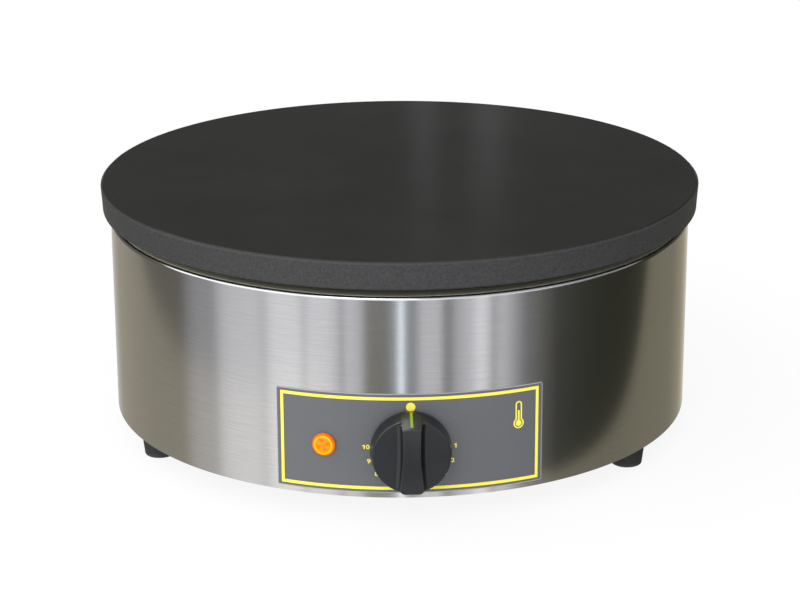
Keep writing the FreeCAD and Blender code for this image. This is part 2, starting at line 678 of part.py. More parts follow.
def body_profile():
    """Section of the shell: lower flange, wall, rolled top edge and top flange."""
    roll_centre = V(BODY_R - BODY_ROLL_R, 0, BODY_TOP_Z - BODY_ROLL_R)
    slant = math.sin(math.radians(45))
    inner_roll_r = BODY_ROLL_R - BODY_WALL
    flange_low_z = FLANGE_TOP_Z - BODY_WALL
    lower_inner_r = BODY_R - LOWER_FLANGE_W
    outer_mid = roll_centre.add(V(BODY_ROLL_R * slant, 0, BODY_ROLL_R * slant))
    inner_low = V(BODY_INNER_R, 0, flange_low_z - inner_roll_r)
    inner_centre = V(BODY_INNER_R - inner_roll_r, 0, flange_low_z - inner_roll_r)
    inner_mid = inner_centre.add(V(inner_roll_r * slant, 0, inner_roll_r * slant))
    inner_top = V(BODY_INNER_R - inner_roll_r, 0, flange_low_z)
    outer_side = V(BODY_R, 0, BODY_TOP_Z - BODY_ROLL_R)
    outer_top = V(BODY_R - BODY_ROLL_R, 0, BODY_TOP_Z)
    step = V(BODY_R - BODY_ROLL_R, 0, FLANGE_TOP_Z)
    corners = [step, V(FLANGE_INNER_R, 0, FLANGE_TOP_Z), V(FLANGE_INNER_R, 0, flange_low_z), inner_top]
    edges = [Part.Arc(outer_side, outer_mid, outer_top).toShape(),
             Part.LineSegment(outer_top, step).toShape()]
    for first, second in zip(corners, corners[1:]):
        edges.append(Part.LineSegment(first, second).toShape())
    edges.append(Part.Arc(inner_top, inner_mid, inner_low).toShape())
    tail = [inner_low, V(BODY_INNER_R, 0, LOWER_FLANGE_TOP_Z), V(lower_inner_r, 0, LOWER_FLANGE_TOP_Z),
            V(lower_inner_r, 0, BODY_LOW_Z), V(BODY_R, 0, BODY_LOW_Z), outer_side]
    for first, second in zip(tail, tail[1:]):
        edges.append(Part.LineSegment(first, second).toShape())
    return Part.Face(Part.Wire(edges))


def radial_rod(radius, inner_r, outer_r, angle, z):
    """Round bar that points out of the front, turned by angle about the body axis."""
    rod = rod_y(radius, -outer_r, -inner_r, 0, z)
    rod.rotate(V(0, 0, 0), V(0, 0, 1), angle)
    return rod


def thermostat_screw_places():
    return [-THERMOSTAT_SCREW_SPACING / 2, THERMOSTAT_SCREW_SPACING / 2]


def body_shell():
    shell = body_profile().revolve(V(0, 0, 0), V(0, 0, 1), 360)
    shell = shell.cut(rod_y(PANEL_SHAFT_HOLE_R, -BODY_R, -BODY_R / 2, 0, KNOB_Z))
    for x in thermostat_screw_places():
        shell = shell.cut(rod_y(THERMOSTAT_SCREW_R + HOLE_GAP, -BODY_R, -BODY_R / 2, x, KNOB_Z))
    shell = shell.cut(radial_rod(LAMP_BARREL_R + HOLE_GAP, BODY_R / 2, -PANEL_FRONT_Y, LAMP_ANGLE, LAMP_Z))
    shell = shell.cut(rod_y(GLAND_THREAD_R + HOLE_GAP, BODY_R / 2, BODY_R + CUT_REACH, 0, GLAND_Z))
    for angle in TRAY_SCREW_ANGLES:
        place = at_angle(TRAY_SCREW_CIRCLE_R, angle)
        shell = shell.cut(disc(TRAY_SCREW_R + THREAD_GAP, FLANGE_TOP_Z - BODY_WALL, BODY_WALL, place))
    for place in foot_places():
        shell = shell.cut(disc(FOOT_SCREW_R + HOLE_GAP, BODY_LOW_Z, BODY_WALL, place))
    for place in base_screw_places():
        shell = shell.cut(disc(BASE_SCREW_R + THREAD_GAP, BODY_LOW_Z, BODY_WALL, place))
    return shell


def foot_places():
    return [at_angle(FOOT_CIRCLE_R, angle) for angle in ring_angles(FOOT_COUNT, FOOT_FIRST_ANGLE)]


def base_screw_places():
    first = FOOT_FIRST_ANGLE + 180.0 / FOOT_COUNT
    return [at_angle(BASE_SCREW_CIRCLE_R, angle) for angle in ring_angles(FOOT_COUNT, first)]


def foot(place):
    cone = Part.makeCone(FOOT_BOTTOM_R, FOOT_TOP_R, BASE_LOW_Z, V(place.x, place.y, 0))
    low_edge = [edge for edge in cone.Edges if edge.BoundBox.ZMax < 0.01]
    cone = cone.makeFillet(FOOT_ROUND, low_edge)
    recess = disc(FOOT_RECESS_R, 0, FOOT_RECESS_H, place)
    hole = disc(FOOT_SCREW_R + HOLE_GAP, 0, BASE_LOW_Z, place)
    return cone.cut(recess).cut(hole)


def foot_screws():
    screws = []
    for place in foot_places():
        head = pan_head(FOOT_RECESS_R - HOLE_GAP, FOOT_RECESS_H, FOOT_SCREW_HEAD_H, place, -1)
        length = LOWER_FLANGE_TOP_Z + FOOT_NUT_H + FOOT_SCREW_R / 2 - FOOT_RECESS_H
        screws.append(head.fuse(disc(FOOT_SCREW_R, FOOT_RECESS_H, length, place)))
    return screws


def foot_nuts():
    nuts = []
    for place in foot_places():
        nuts.append(hex_nut(FOOT_NUT_HEX, FOOT_SCREW_R + THREAD_GAP, LOWER_FLANGE_TOP_Z, FOOT_NUT_H, place))
    return nuts


def vent_slot(angle):
    middle = (VENT_INNER_R + VENT_OUTER_R) / 2
    half = (VENT_OUTER_R - VENT_INNER_R - VENT_W) / 2
    slot = block(V(middle - half, -VENT_W / 2, BASE_LOW_Z), V(middle + half, VENT_W / 2, BODY_LOW_Z))
    for end in (middle - half, middle + half):
        slot = slot.fuse(disc(VENT_W / 2, BASE_LOW_Z, BASE_THICK, V(end, 0, 0)))
    slot.rotate(V(0, 0, 0), V(0, 0, 1), angle)
    return slot


def block_fixing_places():
    half = BLOCK_W / 2 + BLOCK_EAR_W / 2
    return [V(BLOCK_X - half, BLOCK_Y, 0), V(BLOCK_X + half, BLOCK_Y, 0)]


def base_plate():
    plate = disc(BASE_R, BASE_LOW_Z, BASE_THICK)
    for place in foot_places():
        plate = plate.cut(disc(FOOT_SCREW_R + HOLE_GAP, BASE_LOW_Z, BASE_THICK, place))
    for place in base_screw_places():
        plate = plate.cut(disc(BASE_SCREW_R + HOLE_GAP, BASE_LOW_Z, BASE_THICK, place))
    for place in block_fixing_places():
        plate = plate.cut(disc(BLOCK_FIXING_R + THREAD_GAP, BASE_LOW_Z, BASE_THICK, place))
    earth_hole = disc(EARTH_STUD_R + THREAD_GAP, BASE_LOW_Z, BASE_THICK, V(EARTH_X, EARTH_Y, 0))
    plate = plate.cut(earth_hole)
    for angle in ring_angles(VENT_COUNT, 0):
        plate = plate.cut(vent_slot(angle))
    return plate


def base_screws():
    screws = []
    for place in base_screw_places():
        head = pan_head(2 * BASE_SCREW_R, BASE_LOW_Z, 1.1 * BASE_SCREW_R, place, -1)
        length = BASE_THICK + BODY_WALL + 2 * BASE_SCREW_R
        screws.append(head.fuse(disc(BASE_SCREW_R, BASE_LOW_Z, length, place)))
    return screws


def rounded_rectangle(width, height, radius, y, low_z):
    """Upright face in the plane of y, with round corners, centred on x = 0."""
    slab = block(V(-width / 2, y, low_z), V(width / 2, y + CUT_REACH, low_z + height))
    along_y = [edge for edge in slab.Edges if edge.BoundBox.YLength > CUT_REACH - 0.01]
    slab = slab.makeFillet(radius, along_y)
    faces = [face for face in slab.Faces if face.BoundBox.YMax < y + 0.01]
    return faces[0]


def chord_width(arc):
    """Flat width that covers an arc of the given length on the label."""
    return 2 * LABEL_FACE_R * math.sin(arc / 2 / LABEL_FACE_R)


def on_panel(face, inner_r, thick):
    """Thin curved piece: an upright flat face pushed back onto the front of the body."""
    depth = BODY_R / 3
    prism = face.extrude(V(0, depth, 0))
    low_z = BODY_LOW_Z
    return prism.common(ring(inner_r + thick, inner_r, low_z, BODY_H))


def control_label():
    face = rounded_rectangle(chord_width(LABEL_W), LABEL_H, LABEL_CORNER_R, PANEL_FRONT_Y, LABEL_LOW_Z)
    label = on_panel(face, LABEL_R, LABEL_THICK)
    label = label.cut(rod_y(LABEL_KNOB_HOLE_R, PANEL_FRONT_Y, -BODY_R / 2, 0, KNOB_Z))
    return label.cut(radial_rod(LAMP_BARREL_R + HOLE_GAP, BODY_R / 2, -PANEL_FRONT_Y, LAMP_ANGLE, LAMP_Z))


def label_border():
    outer_w = LABEL_W - 2 * BORDER_SIDE_MARGIN
    outer_h = LABEL_H - 2 * BORDER_EDGE_MARGIN
    inner_w = outer_w - 2 * BORDER_LINE_W
    inner_h = outer_h - 2 * BORDER_LINE_W
    outer_low_z = LABEL_LOW_Z + BORDER_EDGE_MARGIN
    outer = rounded_rectangle(chord_width(outer_w), outer_h, BORDER_CORNER_R, PANEL_FRONT_Y, outer_low_z)
    inner = rounded_rectangle(chord_width(inner_w), inner_h, BORDER_CORNER_R, PANEL_FRONT_Y,
                              outer_low_z + BORDER_LINE_W)
    return on_panel(outer.cut(inner), PRINT_R, PRINT_THICK)


def thermometer_sign():
    """Outline of a thermometer with its column, as printed ink on the label."""
    front_y = PANEL_FRONT_Y
    back_y = -BODY_R / 2
    low_z = LABEL_LOW_Z + SIGN_ABOVE_LABEL_EDGE
    bulb_z = low_z + SIGN_BULB_R
    stem_top_z = low_z + SIGN_H - SIGN_STEM_R

    def silhouette(inset):
        bulb = rod_y(SIGN_BULB_R - inset, front_y, back_y, 0, bulb_z)
        stem_r = SIGN_STEM_R - inset
        stem = block(V(-stem_r, front_y, bulb_z), V(stem_r, back_y, stem_top_z))
        return bulb.fuse([stem, rod_y(stem_r, front_y, back_y, 0, stem_top_z)])

    outline = silhouette(0).cut(silhouette(SIGN_LINE_W))
    half = SIGN_MERCURY_W / 2
    column = block(V(-half, front_y, bulb_z), V(half, back_y, low_z + 0.66 * SIGN_H))
    mercury = column.fuse(rod_y(SIGN_DOT_R, front_y, back_y, 0, bulb_z))
    skin = ring(PRINT_R + PRINT_THICK, PRINT_R, BODY_LOW_Z, BODY_H)
    marks = []
    for solid in (outline, mercury):
        solid.rotate(V(0, 0, 0), V(0, 0, 1), SIGN_ANGLE)
        marks.append(solid.common(skin))
    return marks


def knob_side_cutter(side):
    """Space in front of one wing, beside the grip bar. The bar is drawn in at its waist."""
    floor_y = KNOB_BACK_Y - KNOB_WING_DEPTH
    reach = 1.2 * KNOB_BACK_R
    tip = V(side * KNOB_BAR_POINTER_W / 2, floor_y, KNOB_Z + reach)
    waist = V(side * KNOB_BAR_WAIST_W / 2, floor_y, KNOB_Z)
    tail = V(side * KNOB_BAR_TAIL_W / 2, floor_y, KNOB_Z - reach)
    far_low = V(side * reach, floor_y, KNOB_Z - reach)
    far_high = V(side * reach, floor_y, KNOB_Z + reach)
    edges = [Part.Arc(tip, waist, tail).toShape(), Part.LineSegment(tail, far_low).toShape(),
             Part.LineSegment(far_low, far_high).toShape(), Part.LineSegment(far_high, tip).toShape()]
    cutter = Part.Face(Part.Wire(edges)).extrude(V(0, -KNOB_DEPTH, 0))
    root = [edge for edge in cutter.Edges if edge.BoundBox.YMin > floor_y - 0.01
            and abs(edge.CenterOfMass.x) < KNOB_BAR_TAIL_W / 2]
    return cutter.makeFillet(KNOB_SCOOP_FILLET, root)


def knob_tail():
    """Lower end of the grip bar, which reaches past the wings."""
    back_y = KNOB_BACK_Y - KNOB_RIM_H
    half = KNOB_BAR_TAIL_W / 2
    waist_half = KNOB_BAR_WAIST_W / 2
    low_z = KNOB_Z - KNOB_TAIL_REACH
    corners = [V(waist_half, back_y, KNOB_Z), V(half, back_y, low_z), V(-half, back_y, low_z),
               V(-waist_half, back_y, KNOB_Z)]
    outline = Part.makePolygon(corners + corners[:1])
    tail = Part.Face(outline).extrude(V(0, KNOB_FRONT_Y - back_y, 0))
    low_edges = [edge for edge in tail.Edges if edge.BoundBox.ZMax < low_z + 0.01
                 and edge.BoundBox.XLength < 0.01]
    return tail.makeFillet(KNOB_TAIL_CORNER_R, low_edges)


def knob_cone(front_r, depth, grow=0.0):
    """Cone from the rim forward to the given radius and depth."""
    back_y = KNOB_BACK_Y - KNOB_RIM_H
    return Part.makeCone(KNOB_BACK_R + grow, front_r + grow, depth - KNOB_RIM_H, V(0, back_y, KNOB_Z),
                         V(0, -1, 0))


def knob_skirt():
    """Rim and wings, with a notch down to the pointer's slope above the bar."""
    rim = rod_y(KNOB_BACK_R, KNOB_BACK_Y - KNOB_RIM_H, KNOB_BACK_Y, 0, KNOB_Z)
    wings = knob_cone(KNOB_WING_R, KNOB_WING_DEPTH)
    half = KNOB_BAR_POINTER_W / 2
    notch = block(V(-half, KNOB_BACK_Y - KNOB_WING_DEPTH, KNOB_Z),
                  V(half, KNOB_BACK_Y - KNOB_RIM_H, KNOB_Z + 1.2 * KNOB_BACK_R))
    notch = notch.cut(knob_cone(KNOB_FRONT_R, KNOB_DEPTH))
    return rim.fuse(wings.cut(notch))


def knob_bar():
    """Grip bar with a bowed front."""
    bar = knob_cone(KNOB_FRONT_R, KNOB_DEPTH)
    for side in (-1, 1):
        bar = bar.cut(knob_side_cutter(side))
    bar = bar.fuse(knob_tail())
    reach = 1.2 * KNOB_BACK_R
    bow = Part.makeCylinder(KNOB_BAR_BOW_R, 2 * reach, V(-reach, KNOB_FRONT_Y + KNOB_BAR_BOW_R, KNOB_Z),
                            V(1, 0, 0))
    return bar.common(bow)


def round_edges(solid, radius, wanted):
    return solid.makeFillet(radius, [edge for edge in solid.Edges if wanted(edge)])


def knob():
    body = knob_skirt().fuse(knob_bar()).removeSplitter()
    wing_y = KNOB_BACK_Y - KNOB_WING_DEPTH
    body = round_edges(body, KNOB_WING_ROUND, lambda edge: abs(edge.BoundBox.YMin - wing_y) < 0.01
                       and edge.BoundBox.YLength < 0.01 and abs(edge.CenterOfMass.x) > KNOB_WING_R / 2)
    bowed = [face for face in body.Faces if face.Surface.TypeId == "Part::GeomCylinder"
             and abs(face.Surface.Radius - KNOB_BAR_BOW_R) < 0.01]
    body = body.makeFillet(KNOB_BAR_ROUND, bowed[0].Edges)
    hollow_front_y = KNOB_BACK_Y - KNOB_BACK_HOLLOW_DEPTH
    hollow = rod_y(KNOB_BACK_HOLLOW_R, hollow_front_y, KNOB_BACK_Y, 0, KNOB_Z)
    hub = rod_y(KNOB_HUB_R, hollow_front_y, KNOB_BACK_Y, 0, KNOB_Z)
    body = body.cut(hollow).fuse(hub)
    return body.cut(shaft_form(SHAFT_R + RUNNING_GAP, KNOB_BACK_Y - SHAFT_IN_KNOB - RUNNING_GAP,
                               KNOB_BACK_Y, RUNNING_GAP)).removeSplitter()


def shaft_form(radius, front_y, back_y, grow):
    """Round rod with a flat on top, which carries the knob."""
    rod = rod_y(radius, front_y, back_y, 0, KNOB_Z)
    flat_z = KNOB_Z + SHAFT_R - SHAFT_FLAT_DEPTH + grow
    chip = block(V(-radius, front_y, flat_z), V(radius, back_y, KNOB_Z + 2 * radius))
    return rod.cut(chip)


def knob_pointer():
    """Coloured line on the slope, from near the bar's upper end to the rim."""
    skin = knob_cone(KNOB_FRONT_R, KNOB_DEPTH, POINTER_THICK).cut(knob_cone(KNOB_FRONT_R, KNOB_DEPTH))
    half = POINTER_W / 2
    strip = block(V(-half, KNOB_FRONT_Y + POINTER_FRONT_GAP, KNOB_Z),
                  V(half, KNOB_BACK_Y - KNOB_RIM_H - POINTER_END_GAP, KNOB_Z + 2 * KNOB_BACK_R))
    return skin.common(strip)


def thermostat_shaft():
    knob_part = shaft_form(SHAFT_R, KNOB_BACK_Y - SHAFT_IN_KNOB, KNOB_BACK_Y, 0)
    rear_y = CAM_FRONT_Y + CAM_THICK
    return knob_part.fuse(rod_y(SHAFT_R, KNOB_BACK_Y, rear_y, 0, KNOB_Z)).removeSplitter()


def knob_spring():
    """Flat spring ring that keeps the hub on the shaft."""
    back_y = KNOB_BACK_Y + SPRING_THICK
    outer = rod_y(KNOB_HUB_R, KNOB_BACK_Y, back_y, 0, KNOB_Z)
    bore = rod_y(SHAFT_R + SKIN_GAP, KNOB_BACK_Y, back_y, 0, KNOB_Z)
    half = SPRING_SLIT_W / 2
    slit = block(V(-half, KNOB_BACK_Y, KNOB_Z), V(half, back_y, KNOB_Z + 2 * KNOB_HUB_R))
    return outer.cut(bore).cut(slit)


def thermostat_cam():
    rear_y = CAM_FRONT_Y + CAM_THICK
    outer = rod_y(CAM_R, CAM_FRONT_Y, rear_y, 0, KNOB_Z)
    lobe = rod_y(CAM_R, CAM_FRONT_Y, rear_y, CAM_LIFT, KNOB_Z)
    return outer.fuse(lobe).cut(rod_y(SHAFT_R + SKIN_GAP, CAM_FRONT_Y, rear_y, 0, KNOB_Z))


def thermostat_bracket():
    plate = block(V(-BRACKET_W / 2, BRACKET_FRONT_Y, KNOB_Z - BRACKET_H / 2),
                  V(BRACKET_W / 2, BRACKET_BACK_Y, KNOB_Z + BRACKET_H / 2))
    plate = plate.cut(rod_y(SHAFT_R + HOLE_GAP, BRACKET_FRONT_Y, BRACKET_BACK_Y, 0, KNOB_Z))
    for x in thermostat_screw_places():
        hole = rod_y(THERMOSTAT_SCREW_R + THREAD_GAP, BRACKET_FRONT_Y, BRACKET_BACK_Y, x, KNOB_Z)
        plate = plate.cut(hole)
    return plate


def thermostat_housing():
    half_w = THERMOSTAT_W / 2
    half_h = THERMOSTAT_H / 2
    wall = THERMOSTAT_WALL
    outer = block(V(-half_w, BRACKET_BACK_Y, KNOB_Z - half_h), V(half_w, HOUSING_BACK_Y, KNOB_Z + half_h))
    along_y = [edge for edge in outer.Edges if edge.BoundBox.YLength > THERMOSTAT_DEPTH - 0.01]
    outer = outer.makeFillet(THERMOSTAT_ROUND, along_y)
    cavity = block(V(wall - half_w, BRACKET_BACK_Y + wall, KNOB_Z - half_h + wall),
                   V(half_w - wall, HOUSING_BACK_Y, KNOB_Z + half_h - wall))
    housing = outer.cut(cavity)
    housing = housing.cut(rod_y(SHAFT_R + RUNNING_GAP, BRACKET_BACK_Y, BRACKET_BACK_Y + wall, 0, KNOB_Z))
    for x in thermostat_screw_places():
        hole = rod_y(THERMOSTAT_SCREW_R + THREAD_GAP, BRACKET_BACK_Y, BRACKET_BACK_Y + wall, x, KNOB_Z)
        housing = housing.cut(hole)
    outlet = disc(CAPILLARY_R + HOLE_GAP, KNOB_Z, THERMOSTAT_H, V(0, diaphragm_middle_y(), 0))
    return housing.cut(outlet)


def thermostat_cover():
    half_w = THERMOSTAT_W / 2
    half_h = THERMOSTAT_H / 2
    cover = block(V(-half_w, HOUSING_BACK_Y, KNOB_Z - half_h), V(half_w, COVER_BACK_Y, KNOB_Z + half_h))
    for x in tab_places():
        slot = tab_block(x, HOUSING_BACK_Y, COVER_BACK_Y, THREAD_GAP)
        cover = cover.cut(slot)
    return cover


def tab_places():
    return [-THERMOSTAT_W / 4, THERMOSTAT_W / 4]


def tab_block(x, front_y, back_y, grow):
    half_t = TAB_THICK / 2 + grow
    half_w = TAB_W / 2 + grow
    return block(V(x - half_t, front_y, KNOB_Z - half_w), V(x + half_t, back_y, KNOB_Z + half_w))


def thermostat_tabs():
    return [tab_block(x, HOUSING_BACK_Y, TAB_TIP_Y, 0) for x in tab_places()]


def thermostat_diaphragm():
    back_y = DIAPHRAGM_FRONT_Y + DIAPHRAGM_THICK
    capsule = rod_y(DIAPHRAGM_R, DIAPHRAGM_FRONT_Y, back_y, 0, KNOB_Z)
    stem = rod_y(SHAFT_R, back_y, HOUSING_BACK_Y, 0, KNOB_Z)
    return capsule.fuse(stem)


def thermostat_screws():
    screws = []
    radius = THERMOSTAT_SCREW_R
    slot_half = radius / 5
    for x in thermostat_screw_places():
        seat_y = -math.sqrt(BODY_R ** 2 - (abs(x) - 2 * radius) ** 2) - SKIN_GAP
        head = rod_y(2 * radius, seat_y - radius, seat_y, x, KNOB_Z)
        slot = block(V(x - slot_half, seat_y - radius, KNOB_Z - 2 * radius),
                     V(x + slot_half, seat_y - radius / 2, KNOB_Z + 2 * radius))
        shank = rod_y(radius, seat_y, BRACKET_BACK_Y + THERMOSTAT_WALL, x, KNOB_Z)
        screws.append(head.cut(slot).fuse(shank))
    return screws


def lamp_facets(front_y):
    """Low pyramid in the well of the lens, its point level with the crown."""
    base = []
    top = []
    for angle in ring_angles(LAMP_FACETS, 180.0 / LAMP_FACETS):
        place = at_angle(LAMP_WELL_R, angle)
        base.append(V(place.x, front_y + LAMP_WELL_DEPTH, LAMP_Z + place.y))
        top.append(V(place.x / 10, front_y, LAMP_Z + place.y / 10))
    return Part.makeLoft([Part.makePolygon(base + base[:1]), Part.makePolygon(top + top[:1])], True, True)


def indicator_lens():
    """Orange cap: a round flange, a raised crown and a faceted well in the crown."""
    back_r = LABEL_FACE_R + SOFT_GAP
    flange_r = back_r + LAMP_FLANGE_OUT
    front_r = back_r + LAMP_CROWN_OUT
    flange = rod_y(LAMP_FLANGE_R, -flange_r, -back_r, 0, LAMP_Z)
    crown = rod_y(LAMP_CROWN_R, -front_r, -back_r, 0, LAMP_Z)
    cap = flange.fuse(crown)
    cap = round_edges(cap, LAMP_ROUND, lambda edge: edge.BoundBox.YLength < 0.01
                      and (abs(edge.BoundBox.YMin + front_r) < 0.01
                           or abs(edge.BoundBox.YMin + flange_r) < 0.01
                           and edge.BoundBox.XMax > LAMP_FLANGE_R - 0.01))
    cap = cap.cut(rod_y(LAMP_WELL_R, -front_r, LAMP_WELL_DEPTH - front_r, 0, LAMP_Z))
    cap = cap.fuse(lamp_facets(-front_r))
    cap = cap.fuse(rod_y(LAMP_BARREL_R - LAMP_STEM_INSET, -back_r, -BODY_INNER_R, 0, LAMP_Z))
    cap.rotate(V(0, 0, 0), V(0, 0, 1), LAMP_ANGLE)
    return cap


def indicator_body():
    socket_r = LAMP_BARREL_R - LAMP_STEM_INSET + SKIN_GAP
    front_r = LABEL_FACE_R + SOFT_GAP - SKIN_GAP
    barrel = radial_rod(LAMP_BARREL_R, LAMP_BARREL_END_R, front_r, LAMP_ANGLE, LAMP_Z)
    socket = radial_rod(socket_r, BODY_INNER_R - SKIN_GAP, front_r, LAMP_ANGLE, LAMP_Z)
    return barrel.cut(socket)


def indicator_nut():
    outer_r = math.sqrt(BODY_INNER_R ** 2 - LAMP_NUT_R ** 2) - SKIN_GAP
    inner_r = outer_r - LAMP_NUT_THICK
    nut = radial_rod(LAMP_NUT_R, inner_r, outer_r, LAMP_ANGLE, LAMP_Z)
    return nut.cut(radial_rod(LAMP_BARREL_R + THREAD_GAP, inner_r, outer_r, LAMP_ANGLE, LAMP_Z))


def lamp_point(radius, across):
    """Point behind the lamp, at a distance from the body axis and sideways from the lamp axis."""
    turn = math.radians(LAMP_ANGLE)
    return V(across * math.cos(turn) + radius * math.sin(turn),
             across * math.sin(turn) - radius * math.cos(turn), LAMP_Z)


def gland_hex(radius_limit, front_y, back_y, across_flats):
    prism = hex_prism(across_flats, front_y, back_y - front_y)
    prism.rotate(V(0, 0, 0), V(1, 0, 0), -90)
    prism.translate(V(0, 0, GLAND_Z))
    return prism.common(rod_y(radius_limit, front_y, back_y, 0, GLAND_Z))


def gland_seat_y():
    return BODY_R + SKIN_GAP


def gland_body():
    seat_y = gland_seat_y()
    collar_y = seat_y + GLAND_HEX_THICK
    corner_r = GLAND_HEX / math.sqrt(3) - GLAND_CORNER_CUT
    collar = gland_hex(corner_r, seat_y, collar_y, GLAND_HEX)
    inside = rod_y(GLAND_THREAD_R, BODY_INNER_R - GLAND_INSIDE, seat_y, 0, GLAND_Z)
    neck_r = GLAND_THREAD_R - GLAND_NECK_INSET
    neck = rod_y(neck_r, collar_y, collar_y + GLAND_DOME_LENGTH / 2, 0, GLAND_Z)
    body = collar.fuse([inside, neck])
    through = rod_y(CABLE_R + GLAND_BORE_GAP, BODY_INNER_R - GLAND_INSIDE, collar_y, 0, GLAND_Z)
    pocket = rod_y(GLAND_SEAL_R + SKIN_GAP, collar_y - GLAND_SEAL_SEAT, collar_y + GLAND_DOME_LENGTH,
                   0, GLAND_Z)
    return body.cut(through).cut(pocket)


def gland_nut():
    """Domed nut with grip flutes."""
    start_y = gland_seat_y() + GLAND_HEX_THICK + SOFT_GAP
    end_y = start_y + GLAND_DOME_LENGTH
    grip_y = start_y + GLAND_GRIP_LENGTH
    dome = rod_y(GLAND_DOME_R, start_y, end_y, 0, GLAND_Z)
    dome = round_edges(dome, 0.35 * GLAND_DOME_R, lambda edge: edge.BoundBox.YMin > end_y - 0.01)
    neck_r = GLAND_THREAD_R - GLAND_NECK_INSET + THREAD_GAP
    dome = dome.cut(rod_y(neck_r, start_y, grip_y, 0, GLAND_Z))
    dome = dome.cut(rod_y(CABLE_R + GLAND_MOUTH_GAP, start_y, end_y, 0, GLAND_Z))
    for angle in ring_angles(GLAND_FLUTES, 0):
        place = at_angle(GLAND_DOME_R + GLAND_FLUTE_OUT, angle)
        dome = dome.cut(rod_y(GLAND_FLUTE_R, start_y, grip_y, place.x, GLAND_Z + place.y))
    return dome


def gland_seal():
    collar_y = gland_seat_y() + GLAND_HEX_THICK
    start_y = collar_y - GLAND_SEAL_SEAT
    end_y = collar_y + GLAND_GRIP_LENGTH
    seal = rod_y(GLAND_SEAL_R, start_y, end_y, 0, GLAND_Z)
    return seal.cut(rod_y(CABLE_R + CABLE_GAP, start_y, end_y, 0, GLAND_Z))


def gland_locknut():
    half = GLAND_HEX / math.sqrt(3)
    outer_y = math.sqrt(BODY_INNER_R ** 2 - half ** 2) - SKIN_GAP
    inner_y = outer_y - GLAND_LOCKNUT_THICK
    nut = gland_hex(half - GLAND_CORNER_CUT, inner_y, outer_y, GLAND_HEX)
    return nut.cut(rod_y(GLAND_THREAD_R + THREAD_GAP, inner_y, outer_y, 0, GLAND_Z))


def block_pole_x(pole):
    return BLOCK_X + (pole - (BLOCK_POLES - 1) / 2) * BLOCK_POLE_PITCH


def terminal_block():
    low = V(BLOCK_X - BLOCK_W / 2, BLOCK_Y - BLOCK_DEPTH / 2, BLOCK_LOW_Z)
    high = V(BLOCK_X + BLOCK_W / 2, BLOCK_Y + BLOCK_DEPTH / 2, BLOCK_LOW_Z + BLOCK_H)
    body = block(low, high)
    along_y = [edge for edge in body.Edges if edge.BoundBox.YLength > BLOCK_DEPTH - 0.01
               and edge.BoundBox.ZMin > BLOCK_LOW_Z + 0.01]
    body = body.makeFillet(BLOCK_ROUND, along_y)
    half = BLOCK_W / 2 + BLOCK_EAR_W
    ears = block(V(BLOCK_X - half, BLOCK_Y - BLOCK_EAR_W / 2, BLOCK_LOW_Z),
                 V(BLOCK_X + half, BLOCK_Y + BLOCK_EAR_W / 2, BLOCK_LOW_Z + BLOCK_EAR_H))
    body = body.fuse(ears)
    for pole in range(BLOCK_POLES):
        x = block_pole_x(pole)
        body = body.cut(rod_y(WIRE_R + BLOCK_ENTRY_GAP, low.y, high.y, x, BLOCK_ENTRY_Z))
        body = body.cut(disc(BLOCK_SCREW_R + HOLE_GAP, BLOCK_ENTRY_Z, BLOCK_H, V(x, BLOCK_Y, 0)))
    for place in block_fixing_places():
        body = body.cut(disc(BLOCK_FIXING_R + HOLE_GAP, BLOCK_LOW_Z, BLOCK_EAR_H, place))
    return body


def terminal_screws():
    low_z = BLOCK_ENTRY_Z + WIRE_R + BLOCK_ENTRY_GAP
    height = BLOCK_LOW_Z + BLOCK_H - BLOCK_SCREW_RECESS - low_z
    screws = []
    for pole in range(BLOCK_POLES):
        screws.append(pan_head(BLOCK_SCREW_R, low_z, height, V(block_pole_x(pole), BLOCK_Y, 0)))
    return screws


def block_fixings():
    screws = []
    seat_z = BLOCK_LOW_Z + BLOCK_EAR_H
    for place in block_fixing_places():
        head = pan_head(2 * BLOCK_FIXING_R, seat_z, 1.2 * BLOCK_FIXING_R, place)
        shank = disc(BLOCK_FIXING_R, BASE_LOW_Z, seat_z - BASE_LOW_Z, place)
        screws.append(head.fuse(shank))
    return screws


def earth_stud():
    return disc(EARTH_STUD_R, BASE_LOW_Z, EARTH_STUD_H, V(EARTH_X, EARTH_Y, 0))


def earth_nuts():
    place = V(EARTH_X, EARTH_Y, 0)
    bore_r = EARTH_STUD_R + THREAD_GAP
    return [hex_nut(EARTH_NUT_HEX, bore_r, low_z, EARTH_NUT_H, place)
            for low_z in (BODY_LOW_Z, EARTH_LUG_Z + EARTH_LUG_THICK)]


def earth_lug():
    """Ring, tongue and crimped barrel."""
    eye = ring(EARTH_LUG_R, EARTH_STUD_R + HOLE_GAP, EARTH_LUG_Z, EARTH_LUG_THICK, V(EARTH_X, EARTH_Y, 0))
    half = EARTH_LUG_R / 2
    tongue = block(V(EARTH_X - half, EARTH_Y - EARTH_TONGUE_LENGTH, EARTH_LUG_Z),
                   V(EARTH_X + half, EARTH_Y - EARTH_LUG_R + EARTH_LUG_THICK, EARTH_LUG_Z + EARTH_LUG_THICK))
    start_y = EARTH_Y - EARTH_BARREL_START
    end_y = start_y - EARTH_BARREL_LENGTH
    barrel = rod_y(WIRE_R + EARTH_BARREL_WALL, end_y, start_y, EARTH_X, EARTH_WIRE_Z)
    bore = rod_y(WIRE_R + SKIN_GAP, end_y, end_y + WIRE_IN_BARREL + SOFT_GAP, EARTH_X, EARTH_WIRE_Z)
    return eye.fuse([tongue, barrel]).cut(bore)


